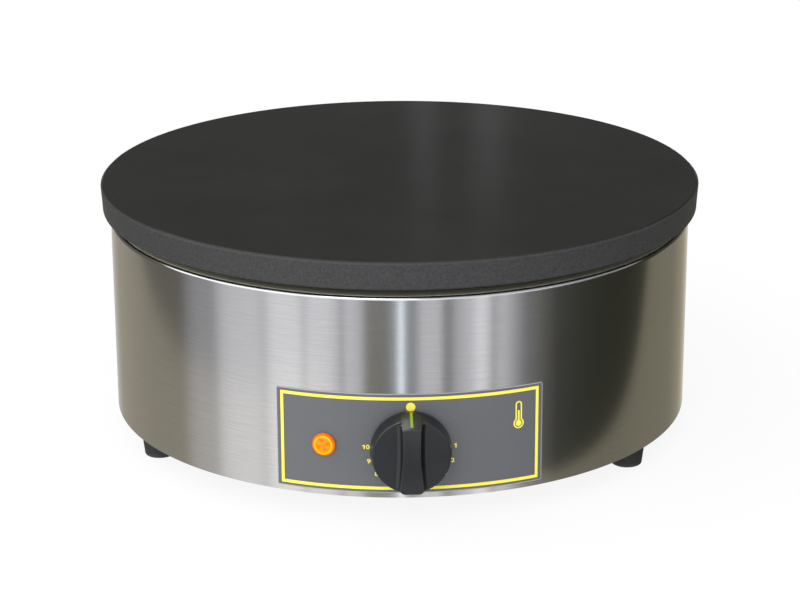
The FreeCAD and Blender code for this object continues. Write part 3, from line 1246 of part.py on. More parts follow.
def push_on_sleeves():
    """Sheet sleeves on the thermostat's tabs and round ones on the element's pins."""
    sleeves = []
    half_t = SLEEVE_THICK / 2
    half_w = SLEEVE_W / 2
    start_y = COVER_BACK_Y + SOFT_GAP
    for x in tab_places():
        body = block(V(x - half_t, start_y, KNOB_Z - half_w),
                     V(x + half_t, start_y + SLEEVE_LENGTH, KNOB_Z + half_w))
        sleeves.append(body.cut(tab_block(x, start_y, TAB_TIP_Y + THREAD_GAP, THREAD_GAP)))
    height = SLEEVE_LENGTH + SLEEVE_BOOT
    hole_h = PIN_SLEEVE_LOW_Z + height - PIN_LOW_Z + THREAD_GAP
    for place in element_leg_places():
        body = disc(0.8 * half_w, PIN_SLEEVE_LOW_Z, height, place)
        sleeves.append(body.cut(disc(ELEMENT_PIN_R + THREAD_GAP, PIN_LOW_Z - THREAD_GAP, hole_h, place)))
    return sleeves


def stepped(place, x, y, z):
    """Point at a number of wire steps from a place."""
    return place.add(V(x, y, z).multiply(WIRE_STEP))


def tab_wire_start(x):
    return V(x, COVER_BACK_Y + SOFT_GAP + SLEEVE_LENGTH, KNOB_Z)


def pole_entry(pole):
    """End of a wire inside its pole, on the side that faces the middle of the body."""
    return V(block_pole_x(pole), BLOCK_Y - BLOCK_DEPTH / 2 + WIRE_IN_BLOCK, BLOCK_ENTRY_Z)


def pin_wire_end(leg):
    place = element_leg_places()[leg]
    return V(place.x, place.y, PIN_SLEEVE_LOW_Z)


def wire_live():
    start = pole_entry(1)
    end = tab_wire_start(tab_places()[0])
    points = [start, stepped(start, 0, -3.8, 0), stepped(start, -2, -8.8, 1.4), stepped(end, -0.6, 12, 0.8),
              stepped(end, 0.2, 6.2, -0.4), stepped(end, 0, 2.2, 0), end]
    return routed_tube("wire_live", points, WIRE_R, WIRE_BEND_R)


def wire_switched():
    start = tab_wire_start(tab_places()[1])
    end = pin_wire_end(0)
    points = [start, stepped(start, 0, 2.4, 0), stepped(start, 1.6, 5.8, 0.2), stepped(end, 0, -3.4, -3.4),
              stepped(end, 0, 0, -2.6), end]
    return routed_tube("wire_switched", points, WIRE_R, WIRE_BEND_R)


def wire_neutral():
    start = pole_entry(2)
    end = pin_wire_end(1)
    points = [start, stepped(start, 0, -3, 0), stepped(start, 4, -6.6, 1.2), stepped(end, -0.2, 1.6, -3.4),
              stepped(end, 0, 0, -2), end]
    return routed_tube("wire_neutral", points, WIRE_R, WIRE_BEND_R)


def wire_earth():
    start = pole_entry(0)
    barrel_end_y = EARTH_Y - EARTH_BARREL_START - EARTH_BARREL_LENGTH
    end = V(EARTH_X, barrel_end_y + WIRE_IN_BARREL, EARTH_WIRE_Z)
    points = [start, stepped(start, 0, -2.6, 0), stepped(start, -2.4, -4.6, 0), stepped(end, 2.2, -3.8, 0),
              stepped(end, 0, -2.4, 0), end]
    return routed_tube("wire_earth", points, WIRE_R, WIRE_BEND_R)


def lamp_wires():
    """Two thin leads from the lamp, one to each side of the element's circuit."""
    wires = []
    for side, x in zip((-1, 1), tab_places()):
        across = side * LAMP_WIRE_APART
        start = lamp_point(LAMP_BARREL_END_R, across)
        inward = lamp_point(LAMP_BARREL_END_R - (2 + 0.3 * side) * WIRE_STEP, across)
        above_y = COVER_BACK_Y + SOFT_GAP + SLEEVE_LENGTH / 2 + 0.1 * side * WIRE_STEP
        above = V(x, above_y, KNOB_Z + SLEEVE_W / 2)
        points = [start, inward, stepped(inward, 1.4, 0.8 - 0.3 * side, 2.2),
                  stepped(above, 0, 0, 2.4 + 0.2 * side), above]
        wires.append(routed_tube("lamp_wire", points, LAMP_WIRE_R, LAMP_WIRE_BEND_R))
    return wires


def save(name, solids):
    if not isinstance(solids, list):
        solids = [solids]
    loose = []
    for shape in solids:
        loose.extend(shape.Solids)
    for solid in loose:
        if not solid.isValid() or solid.Volume <= 0:
            print("not a valid solid:", name)
    result = loose[0] if len(loose) == 1 else Part.makeCompound(loose)
    result.exportStep(os.path.join("parts", name + ".step"))
    box = result.BoundBox
    corners = (box.XMin, box.YMin, box.ZMin, box.XMax, box.YMax, box.ZMax)
    print(name, len(loose), [round(value, 1) for value in corners])


def main():
    os.makedirs("parts", exist_ok=True)
    for name, place in zip(("foot_rear", "foot_left", "foot_right"), foot_places()):
        save(name, foot(place))
    for maker in (griddle_plate, plate_posts, plate_studs, plate_washers, plate_nuts, heating_element,
                  element_bushes, element_pins, clamp_bars, clamp_screws, sensor_bulb, bulb_saddle,
                  capillary_tube, insulation_disc, heat_tray, tray_screws, body_shell, base_plate,
                  base_screws, foot_screws, foot_nuts, control_label, label_border, thermometer_sign,
                  knob, knob_pointer, knob_spring, thermostat_shaft, thermostat_cam, thermostat_bracket,
                  thermostat_housing, thermostat_cover, thermostat_tabs, thermostat_diaphragm,
                  thermostat_screws, indicator_lens, indicator_body, indicator_nut, gland_body, gland_nut,
                  gland_seal, gland_locknut, terminal_block, terminal_screws, block_fixings, earth_stud,
                  earth_nuts, earth_lug, push_on_sleeves, wire_live, wire_switched, wire_neutral,
                  wire_earth, lamp_wires):
        save(maker.__name__, maker())


main()
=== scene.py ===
import json
import math

import bmesh
import bpy
from mathutils import Matrix, Vector

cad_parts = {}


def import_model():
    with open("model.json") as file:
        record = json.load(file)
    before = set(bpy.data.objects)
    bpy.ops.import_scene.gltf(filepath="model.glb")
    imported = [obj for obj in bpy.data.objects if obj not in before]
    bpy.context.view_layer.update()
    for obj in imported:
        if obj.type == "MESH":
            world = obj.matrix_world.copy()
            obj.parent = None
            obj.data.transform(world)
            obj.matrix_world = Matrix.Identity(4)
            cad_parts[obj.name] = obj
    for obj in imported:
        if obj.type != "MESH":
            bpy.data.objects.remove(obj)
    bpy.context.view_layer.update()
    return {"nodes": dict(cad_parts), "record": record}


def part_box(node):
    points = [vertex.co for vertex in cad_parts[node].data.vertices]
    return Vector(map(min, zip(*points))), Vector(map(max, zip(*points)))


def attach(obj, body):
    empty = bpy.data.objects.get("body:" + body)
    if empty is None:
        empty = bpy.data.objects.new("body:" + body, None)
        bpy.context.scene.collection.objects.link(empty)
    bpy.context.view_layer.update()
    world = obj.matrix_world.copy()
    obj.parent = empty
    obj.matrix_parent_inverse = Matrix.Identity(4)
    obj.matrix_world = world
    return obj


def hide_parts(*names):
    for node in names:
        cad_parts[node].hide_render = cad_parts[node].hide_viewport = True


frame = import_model()
nodes = frame["nodes"]

# Places read from the frame, metres. The body's axis is the Z axis and the panel faces -Y.
shell_low, shell_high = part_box("body_shell")
label_low, label_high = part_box("control_label")
plate_low, plate_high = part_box("griddle_plate")
shaft_low, shaft_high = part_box("thermostat_shaft")
lens_low, lens_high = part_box("indicator_lens")
MM = 0.001
BODY_R = shell_high.x
LABEL_FACE_R = -label_low.y
LABEL_HALF_W = LABEL_FACE_R * math.asin(label_high.x / LABEL_FACE_R)
KNOB_Z = (shaft_low.z + shaft_high.z) / 2
PLATE_TOP_Z = plate_high.z
LENS_ANGLE = math.atan2(lens_low.x + lens_high.x, -lens_low.y - lens_high.y)
LENS_Z = (lens_low.z + lens_high.z) / 2
LENS_R = (lens_high.z - lens_low.z) / 2

# The photograph's camera, found by fitting the outlines of the plate and the body. Its angles
# are in radians, and the panel is turned a little to the camera's right.
CAMERA_LENS = 113.41
CAMERA_SENSOR = 36.0
CAMERA_NEAR = 0.05
CAMERA_FAR = 60.0
CAMERA_BACK = 1634.8 * MM
CAMERA_ABOVE_PLATE = 458.0 * MM
CAMERA_PITCH = 0.32370
CAMERA_ROLL = -0.00406
PANEL_TURN = math.radians(1.85)


class Field:
    """A value that varies over a surface. Arithmetic on fields adds the Math nodes for it."""

    def __init__(self, board, socket):
        self.board = board
        self.socket = socket

    def math(self, operation, *others):
        values = dict(enumerate((self,) + others))
        return self.board.add("ShaderNodeMath", {"operation": operation}, values)

    def __add__(self, other):
        return self.math("ADD", other)

    def __mul__(self, other):
        return self.math("MULTIPLY", other)

    def __sub__(self, other):
        return self.math("SUBTRACT", other)

    def __truediv__(self, other):
        return self.math("DIVIDE", other)

    def __rsub__(self, other):
        return self.board.add("ShaderNodeMath", {"operation": "SUBTRACT"}, {0: other, 1: self})

    def __pow__(self, other):
        return self.math("POWER", other)

    __radd__ = __add__
    __rmul__ = __mul__

    def step(self, low, high):
        """0 below low, 1 above high, smooth between."""
        settings = {"interpolation_type": "SMOOTHSTEP"}
        return self.board.add("ShaderNodeMapRange", settings,
                              {"Value": self, "From Min": low, "From Max": high})

    def fade(self, low, high):
        """1 below low, 0 above high, smooth between."""
        return 1 - self.step(low, high)


class Board:
    """The node tree of one material or of the world."""

    def __init__(self, owner):
        owner.use_nodes = True
        self.tree = owner.node_tree
        self.tree.nodes.clear()

    def add(self, kind, settings, inputs, output=0):
        """A node: its type, its settings, the values or links of its sockets, and its output."""
        node = self.tree.nodes.new(kind)
        for name, value in settings.items():
            if name == "stops":
                self.set_stops(node.color_ramp, value)
            else:
                setattr(node, name, value)
        for name, value in inputs.items():
            if isinstance(value, Field):
                self.tree.links.new(value.socket, node.inputs[name])
            else:
                node.inputs[name].default_value = value
        if node.outputs:
            return Field(self, node.outputs[output])
        return node

    @staticmethod
    def set_stops(ramp, stops):
        while len(ramp.elements) > 1:
            ramp.elements.remove(ramp.elements[-1])
        ramp.elements[0].position, ramp.elements[0].color = stops[0]
        for position, tone in stops[1:]:
            ramp.elements.new(position).color = tone

    def point(self):
        """The point on the part, metres."""
        return self.add("ShaderNodeTexCoord", {}, {}, "Object")

    def axes(self, vector):
        """The x, y and z of a vector."""
        return [self.add("ShaderNodeSeparateXYZ", {}, {0: vector}, axis) for axis in range(3)]

    def vector(self, x, y, z):
        return self.add("ShaderNodeCombineXYZ", {}, {0: x, 1: y, 2: z})

    def noise(self, vector, scale, detail, roughness):
        values = {"Vector": vector, "Scale": scale, "Detail": detail, "Roughness": roughness}
        return self.add("ShaderNodeTexNoise", {}, values, "Fac")

    def lanes(self, x, y, z, detail, roughness):
        """Noise stretched by its own scale along each axis."""
        return self.noise(self.vector(x, y, z), 1.0, detail, roughness)

    def blend(self, amount, first, second):
        """Colour between two colours."""
        settings = {"data_type": "RGBA"}
        return self.add("ShaderNodeMix", settings, {"Factor": amount, 6: first, 7: second}, 2)

    def bump(self, height, distance):
        values = {"Height": height, "Distance": distance, "Strength": 1.0}
        return self.add("ShaderNodeBump", {}, values, "Normal")


def colour(red, green, blue):
    return (red, green, blue, 1.0)


def finished(name, make):
    """A material whose make function returns the Principled shader's values and links."""
    material = bpy.data.materials.new(name)
    board = Board(material)
    shader = board.add("ShaderNodeBsdfPrincipled", {}, make(board))
    board.add("ShaderNodeOutputMaterial", {}, {"Surface": shader})
    return material


def round_body(x, y):
    """Angle round the Z axis, from the panel's side towards +X."""
    return x.math("ARCTAN2", 0 - y)


# The plate's flat finish begins and is whole at these depths below its top
FACE_BEGINS = 1.2 * MM
FACE_WHOLE = 0.2 * MM
IRON_FACE = (colour(0.0060, 0.0064, 0.0045), colour(0.0170, 0.0174, 0.0138))
# The edge's tones, paler partly as bare cast skin and partly as painted light on its outward face
IRON_RIM_SKIN_AND_LIGHT = (colour(0.033, 0.033, 0.033), colour(0.059, 0.059, 0.060))
# Turning marks per metre of radius. A shift gives a noise of its own.
RING_LANES = 900
TURNING_LANES = 330
TURNING_SHIFT = 7.0
SEASONING = 0.22


def turned_iron(board):
    """Seasoned cast iron: fine turning rings on the flat top, a coarser cast skin round the edge,
    painted paler partly for that skin and partly as painted light on its outward face.
    """
    point = board.point()
    x, y, z = board.axes(point)
    radius = (x * x + y * y) ** 0.5
    face = z.step(PLATE_TOP_Z - FACE_BEGINS, PLATE_TOP_Z - FACE_WHOLE)
    rings = board.lanes(radius * RING_LANES, 0, 0, detail=4.0, roughness=0.7)
    turning = board.lanes(radius * TURNING_LANES, 0, TURNING_SHIFT, detail=5.0, roughness=0.8)
    patches = board.noise(point, scale=9.0, detail=4.0, roughness=0.6)
    grain = board.noise(point, scale=640.0, detail=3.0, roughness=0.75)
    skin = board.noise(point, scale=620.0, detail=4.0, roughness=0.75)
    tone = (patches * 0.3 + turning * 0.25 + grain * 0.45).step(0.40, 0.60)
    # Partly painted light: the edge is painted paler than the top
    rim_skin_and_light = board.blend(skin.step(0.3, 0.75), *IRON_RIM_SKIN_AND_LIGHT)
    base = board.blend(face, rim_skin_and_light, board.blend(tone, *IRON_FACE))
    rough = 0.50 + patches * 0.10 + grain * 0.06 - face * 0.06
    height = face * (rings * 0.5 + grain * 0.5) + (1 - face) * skin * 2
    return {"Base Color": base, "Roughness": rough, "Metallic": 0.15,
            "Specular IOR Level": 0.35, "Coat Weight": face * SEASONING, "Coat Roughness": 0.10,
            "Normal": board.bump(height, 0.06 * MM)}


# The brush marks' lanes per radian round the body and per metre of height
FINE_ROUND = 12
FINE_UP = 3000
LONG_ROUND = 6
LONG_UP = 1500
LONG_SHIFT = 3.0
STEEL_TONES = (colour(0.535, 0.535, 0.53), colour(0.665, 0.665, 0.66))
WELD_TONE = colour(0.36, 0.33, 0.30)
WELD_CORE = 0.6 * MM
WELD_EDGE = 2.2 * MM


def brushed_band(board):
    """Stainless sheet brushed round the body, with the weld at the back."""
    point = board.point()
    x, y, z = board.axes(point)
    turn = round_body(x, y)
    fine = board.lanes(turn * FINE_ROUND, z * FINE_UP, 0, detail=5.0, roughness=0.75)
    long = board.lanes(turn * LONG_ROUND, z * LONG_UP, LONG_SHIFT, detail=3.0, roughness=0.6)
    smear = board.noise(point, scale=7.0, detail=3.0, roughness=0.5)
    from_weld = (math.pi - turn.math("ABSOLUTE")) * BODY_R
    weld = from_weld.fade(WELD_CORE, WELD_EDGE)
    tone = (fine * 0.55 + long * 0.45).step(0.2, 0.8)
    base = board.blend(weld * 0.5, board.blend(tone, *STEEL_TONES), WELD_TONE)
    rough = 0.125 + fine * 0.045 + smear * 0.025 + weld * 0.2
    height = fine * 0.7 + long * 0.3 + weld * 2
    return {"Base Color": base, "Roughness": rough, "Metallic": 1.0, "Anisotropic": 0.85,
            "Anisotropic Rotation": 0.25, "Normal": board.bump(height, 0.007 * MM)}


FILM_TONES = (colour(0.098, 0.103, 0.109), colour(0.124, 0.130, 0.137))
# Painted highlight along the cut edge: its tone, the width where it is whole, and where it has
# faded
FILM_EDGE_HIGHLIGHT_TONE = colour(0.34, 0.35, 0.37)
FILM_EDGE_HIGHLIGHT_W = 0.3 * MM
FILM_EDGE_HIGHLIGHT_FADE = 0.6 * MM


def label_film(board):
    """Printed film with a fine satin grain and a painted highlight along its cut edge."""
    point = board.point()
    x, y, z = board.axes(point)
    grain = board.noise(point, scale=2600.0, detail=2.0, roughness=0.6)
    cloud = board.noise(point, scale=30.0, detail=3.0, roughness=0.5)
    above_foot = z - label_low.z
    below_top = label_high.z - z
    from_end = LABEL_HALF_W - round_body(x, y).math("ABSOLUTE") * LABEL_FACE_R
    inward = above_foot.math("MINIMUM", below_top).math("MINIMUM", from_end)
    film = board.blend(grain.step(0.3, 0.7), *FILM_TONES)
    # Painted highlight: the film is paler along its cut edge
    base = board.blend(inward.fade(FILM_EDGE_HIGHLIGHT_W, FILM_EDGE_HIGHLIGHT_FADE), film, FILM_EDGE_HIGHLIGHT_TONE)
    rough = 0.40 + grain * 0.08 + cloud * 0.05
    return {"Base Color": base, "Roughness": rough, "Normal": board.bump(grain, 0.02 * MM)}


def paint(dark, pale, scale, smoothest, relief):
    """Opaque ink or paint with a fine grain."""
    def make(board):
        grain = board.noise(board.point(), scale, detail=3.0, roughness=0.6)
        base = board.blend(grain.step(0.3, 0.8), dark, pale)
        return {"Base Color": base, "Roughness": smoothest + grain * 0.1,
                "Normal": board.bump(grain, relief)}
    return make


PLASTIC_TONES = (colour(0.0040, 0.0056, 0.0064), colour(0.0080, 0.0102, 0.0114))


def moulded_black(board):
    """Black moulded plastic with a spark-eroded grain and slightly worn, paler patches."""
    point = board.point()
    grain = board.noise(point, scale=1500.0, detail=4.0, roughness=0.65)
    wear = board.noise(point, scale=55.0, detail=4.0, roughness=0.6)
    base = board.blend(wear.step(0.4, 0.8), *PLASTIC_TONES)
    rough = 0.23 + grain * 0.07 + wear * 0.04
    return {"Base Color": base, "Roughness": rough, "Specular IOR Level": 0.65,
            "Normal": board.bump(grain, 0.04 * MM)}


# Where the painted highlight ring on the lens's dome begins and ends, as shares of its radius
HIGHLIGHT_RING_BEGINS = (0.56, 0.64)
HIGHLIGHT_RING_ENDS = (0.80, 0.88)
FACET_PAIRS = 4
# Tones of the lens's middle, darker on every other facet as painted shade
WELL_SHADE_TONES = (colour(0.60, 0.150, 0.0), colour(0.86, 0.300, 0.001))
LENS_FOOT_TONE = colour(0.66, 0.120, 0.0)
# Painted highlight: the bright ring on the dome
CROWN_HIGHLIGHT_TONE = colour(0.98, 0.400, 0.001)


def orange_lens(board):
    """Tinted clear cap: a darker foot, a painted highlight ring on the dome, painted shade on
    every other facet round the centre, and a faint painted glow.
    """
    point = board.point()
    x, y, z = board.axes(point)
    across = x * math.cos(LENS_ANGLE) + y * math.sin(LENS_ANGLE)
    up = z - LENS_Z
    share = (across * across + up * up) ** 0.5 / LENS_R
    cloud = board.noise(point, scale=420.0, detail=3.0, roughness=0.5)
    # Painted shade: every other facet is darker, as though light fell on it unevenly
    facet_shade = (across.math("ARCTAN2", up) * FACET_PAIRS).math("SINE").step(-0.7, 0.7)
    # Painted highlight ring between the centre and the foot
    crown_highlight = share.step(*HIGHLIGHT_RING_BEGINS) * share.fade(*HIGHLIGHT_RING_ENDS)
    foot = share.step(*HIGHLIGHT_RING_ENDS)
    shaded_well = board.blend(facet_shade * 0.6 + cloud * 0.4, *WELL_SHADE_TONES)
    base = board.blend(crown_highlight, board.blend(foot, shaded_well, LENS_FOOT_TONE), CROWN_HIGHLIGHT_TONE)
    # The emission is a faint painted glow in the lens's own colours
    return {"Base Color": base, "Roughness": 0.16 + cloud * 0.06, "Specular IOR Level": 0.25,
            "Emission Color": base, "Emission Strength": 0.12,
            "Normal": board.bump(cloud, 0.02 * MM)}


RUBBER_DUSTY = colour(0.050, 0.048, 0.045)
RUBBER_CLEAN = colour(0.018, 0.018, 0.018)
DUST_HEIGHT = 4 * MM


def foot_rubber(board):
    """Black rubber, dusty near the ground."""
    point = board.point()
    x, y, z = board.axes(point)
    grain = board.noise(point, scale=900.0, detail=4.0, roughness=0.7)
    base = board.blend(z.step(0.0, DUST_HEIGHT), RUBBER_DUSTY, RUBBER_CLEAN)
    return {"Base Color": base, "Roughness": 0.62 + grain * 0.2,
            "Normal": board.bump(grain, 0.08 * MM)}


ZINC_TONES = (colour(0.42, 0.44, 0.46), colour(0.58, 0.60, 0.62))
ZINC_CRYSTALS = 130.0


def sheet_zinc(board):
    """Zinc-coated sheet with faint crystals."""
    point = board.point()
    crystals = board.add("ShaderNodeTexVoronoi", {}, {"Vector": point, "Scale": ZINC_CRYSTALS},
                         "Color")
    tone = board.add("ShaderNodeSeparateColor", {}, {0: crystals})
    grain = board.noise(point, scale=700.0, detail=3.0, roughness=0.6)
    base = board.blend(tone, *ZINC_TONES)
    return {"Base Color": base, "Roughness": 0.34 + tone * 0.16 + grain * 0.06,
            "Metallic": 0.9, "Normal": board.bump(grain, 0.03 * MM)}


# The tray is browned inside the first radius and clean outside the second, with a ragged edge. The
# clean outer tone is pale partly as the sheet's own coat and partly as painted light where the
# plate shades it.
BROWNED_R = 168 * MM
CLEAN_R = 186 * MM
BROWNED_RAGGED = 12 * MM
BROWNED_AND_LIT_TONES = (colour(0.085, 0.068, 0.056), colour(0.66, 0.64, 0.50))


def browned_sheet(board):
    """Coated sheet browned by the element's heat, darker towards the middle, its clean outer band
    painted pale partly as painted light in the plate's shade.
    """
    point = board.point()
    x, y, z = board.axes(point)
    radius = (x * x + y * y) ** 0.5
    patch = board.noise(point, scale=24.0, detail=4.0, roughness=0.6)
    clean = (radius + patch * BROWNED_RAGGED).step(BROWNED_R, CLEAN_R)
    # The pale outer tone is partly painted light, for the plate's shade over it
    base = board.blend(clean, *BROWNED_AND_LIT_TONES)
    return {"Base Color": base, "Roughness": 0.45 + patch * 0.15, "Metallic": 0.2,
            "Normal": board.bump(patch, 0.1 * MM)}


# Turning marks of the fasteners per metre, across and up
MARKS_ACROSS = 120
MARKS_UP = 2200
FASTENER_TONES = (colour(0.56, 0.56, 0.55), colour(0.44, 0.43, 0.41))


def turned_steel(board):
    """Turned screws, nuts and pins, a little stained."""
    point = board.point()
    x, y, z = board.axes(point)
    rings = board.lanes(x * MARKS_ACROSS, y * MARKS_ACROSS, z * MARKS_UP,
                        detail=3.0, roughness=0.6)
    stain = board.noise(point, scale=90.0, detail=3.0, roughness=0.6)
    base = board.blend(stain.step(0.4, 0.75), *FASTENER_TONES)
    return {"Base Color": base, "Roughness": 0.28 + rings * 0.16, "Metallic": 1.0,
            "Normal": board.bump(rings, 0.03 * MM)}


SHEATH_TONES = (colour(0.055, 0.048, 0.043), colour(0.16, 0.12, 0.09))


def heated_sheath(board):
    """Element tube with the scale that heat leaves on it."""
    scale = board.noise(board.point(), scale=160.0, detail=5.0, roughness=0.7)
    base = board.blend(scale.step(0.35, 0.7), *SHEATH_TONES)
    return {"Base Color": base, "Roughness": 0.5 + scale * 0.25, "Metallic": 0.5,
            "Normal": board.bump(scale, 0.08 * MM)}


CERAMIC_TONES = (colour(0.80, 0.77, 0.70), colour(0.62, 0.58, 0.50))


def fired_ceramic(board):
    """Pale ceramic with darker specks."""
    specks = board.noise(board.point(), scale=600.0, detail=4.0, roughness=0.7)
    base = board.blend(specks.step(0.5, 0.8), *CERAMIC_TONES)
    return {"Base Color": base, "Roughness": 0.55 + specks * 0.2,
            "Normal": board.bump(specks, 0.06 * MM)}


# The wool's fibres lie along one axis or the other: lanes per metre along and across them
FIBRE_LONG = 260
FIBRE_SHORT = 900
WOOL_TONES = (colour(0.60, 0.57, 0.48), colour(0.86, 0.84, 0.77))


def pressed_wool(board):
    """Pressed insulation wool with crossed fibres."""
    x, y, z = board.axes(board.point())
    fibre = board.lanes(x * FIBRE_SHORT, y * FIBRE_LONG, z * FIBRE_SHORT,
                        detail=5.0, roughness=0.75)
    cross = board.lanes(x * FIBRE_LONG, y * FIBRE_SHORT, z * FIBRE_SHORT,
                        detail=5.0, roughness=0.75)
    base = board.blend((fibre * cross).step(0.15, 0.45), *WOOL_TONES)
    return {"Base Color": base, "Roughness": 0.95,
            "Normal": board.bump(fibre + cross, 0.6 * MM)}


def stained_metal(clean, stained, scale, all_stained, smoothest):
    """Bare metal gone dull in places."""
    def make(board):
        stain = board.noise(board.point(), scale, detail=4.0, roughness=0.6)
        base = board.blend(stain.step(0.4, all_stained), clean, stained)
        return {"Base Color": base, "Roughness": smoothest + stain * 0.25, "Metallic": 1.0,
                "Normal": board.bump(stain, 0.03 * MM)}
    return make


# Share of the colour left in the painted shade between the threads
BRAID_SHADE = 0.75


def sleeving(red, green, blue):
    """Woven sleeving with painted shade between its threads."""
    def make(board):
        braid = board.noise(board.point(), scale=1300.0, detail=3.0, roughness=0.6)
        # Painted shade between the threads
        shade = colour(red * BRAID_SHADE, green * BRAID_SHADE, blue * BRAID_SHADE)
        base = board.blend(braid.step(0.3, 0.7), shade, colour(red, green, blue))
        return {"Base Color": base, "Roughness": 0.42 + braid * 0.15,
                "Normal": board.bump(braid, 0.05 * MM)}
    return make


FINISHES = {
    "cast_iron": turned_iron,
    "brushed_steel": brushed_band,
    "zinc_steel": sheet_zinc,
    "tray_steel": browned_sheet,
    "foot_rubber": foot_rubber,
    "seal_rubber": foot_rubber,
    "fastener_steel": turned_steel,
    "element_sheath": heated_sheath,
    "ceramic": fired_ceramic,
    "insulation_wool": pressed_wool,
    "copper": stained_metal(colour(0.66, 0.32, 0.19), colour(0.30, 0.15, 0.09),
                            scale=140.0, all_stained=0.75, smoothest=0.25),
    "brass": stained_metal(colour(0.70, 0.52, 0.24), colour(0.40, 0.28, 0.12),
                           scale=180.0, all_stained=0.8, smoothest=0.24),
    "label_film": label_film,
    "yellow_ink": paint(colour(0.98, 0.82, 0.085), colour(1.0, 0.88, 0.12),
                        scale=1800.0, smoothest=0.34, relief=0.01 * MM),
    "knob_plastic": moulded_black,
    "black_plastic": moulded_black,
    "pointer_green": paint(colour(0.19, 0.33, 0.012), colour(0.27, 0.43, 0.020),
                           scale=1400.0, smoothest=0.38, relief=0.02 * MM),
    "lens_orange": orange_lens,
    "wire_brown": sleeving(0.24, 0.10, 0.04),
    "wire_black": sleeving(0.03, 0.03, 0.03),
    "wire_blue": sleeving(0.04, 0.14, 0.50),
    "wire_green": sleeving(0.16, 0.48, 0.06),
    "wire_white": sleeving(0.80, 0.80, 0.76),
}
finish_of = {slot: finished(slot, make) for slot, make in FINISHES.items()}


def dress_nodes():
    """The finish of every solid, by the slot that its record names."""
    for part in frame["record"]["subparts"]:
        mesh = nodes[part["node"]].data
        mesh.materials.clear()
        mesh.materials.append(finish_of[part["material_slot"]])


def mesh_from(sheet, name):
    """A named mesh with the faces of a bmesh, which is freed."""
    mesh = bpy.data.meshes.new(name)
    sheet.to_mesh(mesh)
    sheet.free()
    return mesh


def new_piece(name, mesh, body, slot):
    """A piece made here, with its finish, riding on a body."""
    piece = bpy.data.objects.new(name, mesh)
    bpy.context.scene.collection.objects.link(piece)
    mesh.materials.clear()
    mesh.materials.append(finish_of[slot])
    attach(piece, body)
    return piece


# The shell's section and openings, beside the sizes read from the frame
SHEET = 1.2 * MM
ROLL_R = 2.0 * MM
ROLL_STEPS = 10
TOP_FLANGE_DROP = 1.0 * MM
TOP_FLANGE_W = 13.0 * MM
LOWER_FLANGE_W = 26.0 * MM
BAND_SIDES = 480
WALL_ROWS = 12
EDGE_ROW = 0.5 * MM
SHARP_ANGLE = math.radians(30)
SHAFT_HOLE_R = 5.5 * MM
LAMP_HOLE_R = 5.8 * MM
GLAND_HOLE_R = 10.3 * MM
HOLE_SIDES = 64
PUNCH_LENGTH = 20 * MM


def quarter_roll(radius, centre_z, rising):
    """Points round the rolled upper edge, outside or inside it, on the way up or down."""
    points = []
    for step in range(ROLL_STEPS + 1):
        share = step / ROLL_STEPS
        turn = math.pi / 2 * (share if rising else 1 - share)
        points.append((BODY_R - ROLL_R + radius * math.cos(turn),
                       centre_z + radius * math.sin(turn)))
    return points


def band_section():
    """Radius and height of each point round the shell's section, from the foot of the wall."""
    low = shell_low.z
    inner_roll = ROLL_R - SHEET
    wall_top = shell_high.z - ROLL_R
    wall_run = wall_top - low - 2 * EDGE_ROW
    flange = shell_high.z - TOP_FLANGE_DROP
    flange_r = BODY_R - TOP_FLANGE_W
    foot_r = BODY_R - LOWER_FLANGE_W
    points = [(BODY_R, low), (BODY_R, low + EDGE_ROW)]
    for row in range(1, WALL_ROWS + 1):
        points.append((BODY_R, low + EDGE_ROW + wall_run * row / WALL_ROWS))
    points += quarter_roll(ROLL_R, wall_top, True)
    points += [(BODY_R - ROLL_R, flange), (flange_r, flange), (flange_r, flange - SHEET)]
    points += quarter_roll(inner_roll, flange - SHEET - inner_roll, False)
    points += [(BODY_R - SHEET, low + SHEET), (foot_r, low + SHEET), (foot_r, low)]
    return points


def revolved(name, section, sides):
    """Closed ring swept from the section round the Z axis."""
    sheet = bmesh.new()
    rings = []
    for side in range(sides):
        turn = 2 * math.pi * side / sides
        rings.append([sheet.verts.new((r * math.sin(turn), -r * math.cos(turn), z))
                      for r, z in section])
    for side in range(sides):
        ring = rings[side]
        after = rings[(side + 1) % sides]
        for index in range(len(section)):
            following = (index + 1) % len(section)
            sheet.faces.new((ring[index], after[index], after[following], ring[following]))
    bmesh.ops.recalc_face_normals(sheet, faces=sheet.faces)
    return mesh_from(sheet, name)


def punch(radius, place, direction):
    """Round bar that cuts an opening."""
    sheet = bmesh.new()
    spin = Vector((0, 0, 1)).rotation_difference(direction).to_matrix().to_4x4()
    bmesh.ops.create_cone(sheet, cap_ends=True, segments=HOLE_SIDES, radius1=radius,
                          radius2=radius, depth=PUNCH_LENGTH,
                          matrix=Matrix.Translation(place) @ spin)
    return bpy.data.objects.new("punch", mesh_from(sheet, "punch"))


def opening(node, radius):
    """Bar through the wall where the node passes through it."""
    low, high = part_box(node)
    middle = (low + high) / 2
    outward = Vector((middle.x, middle.y, 0)).normalized()
    return punch(radius, outward * BODY_R + Vector((0, 0, middle.z)), outward)


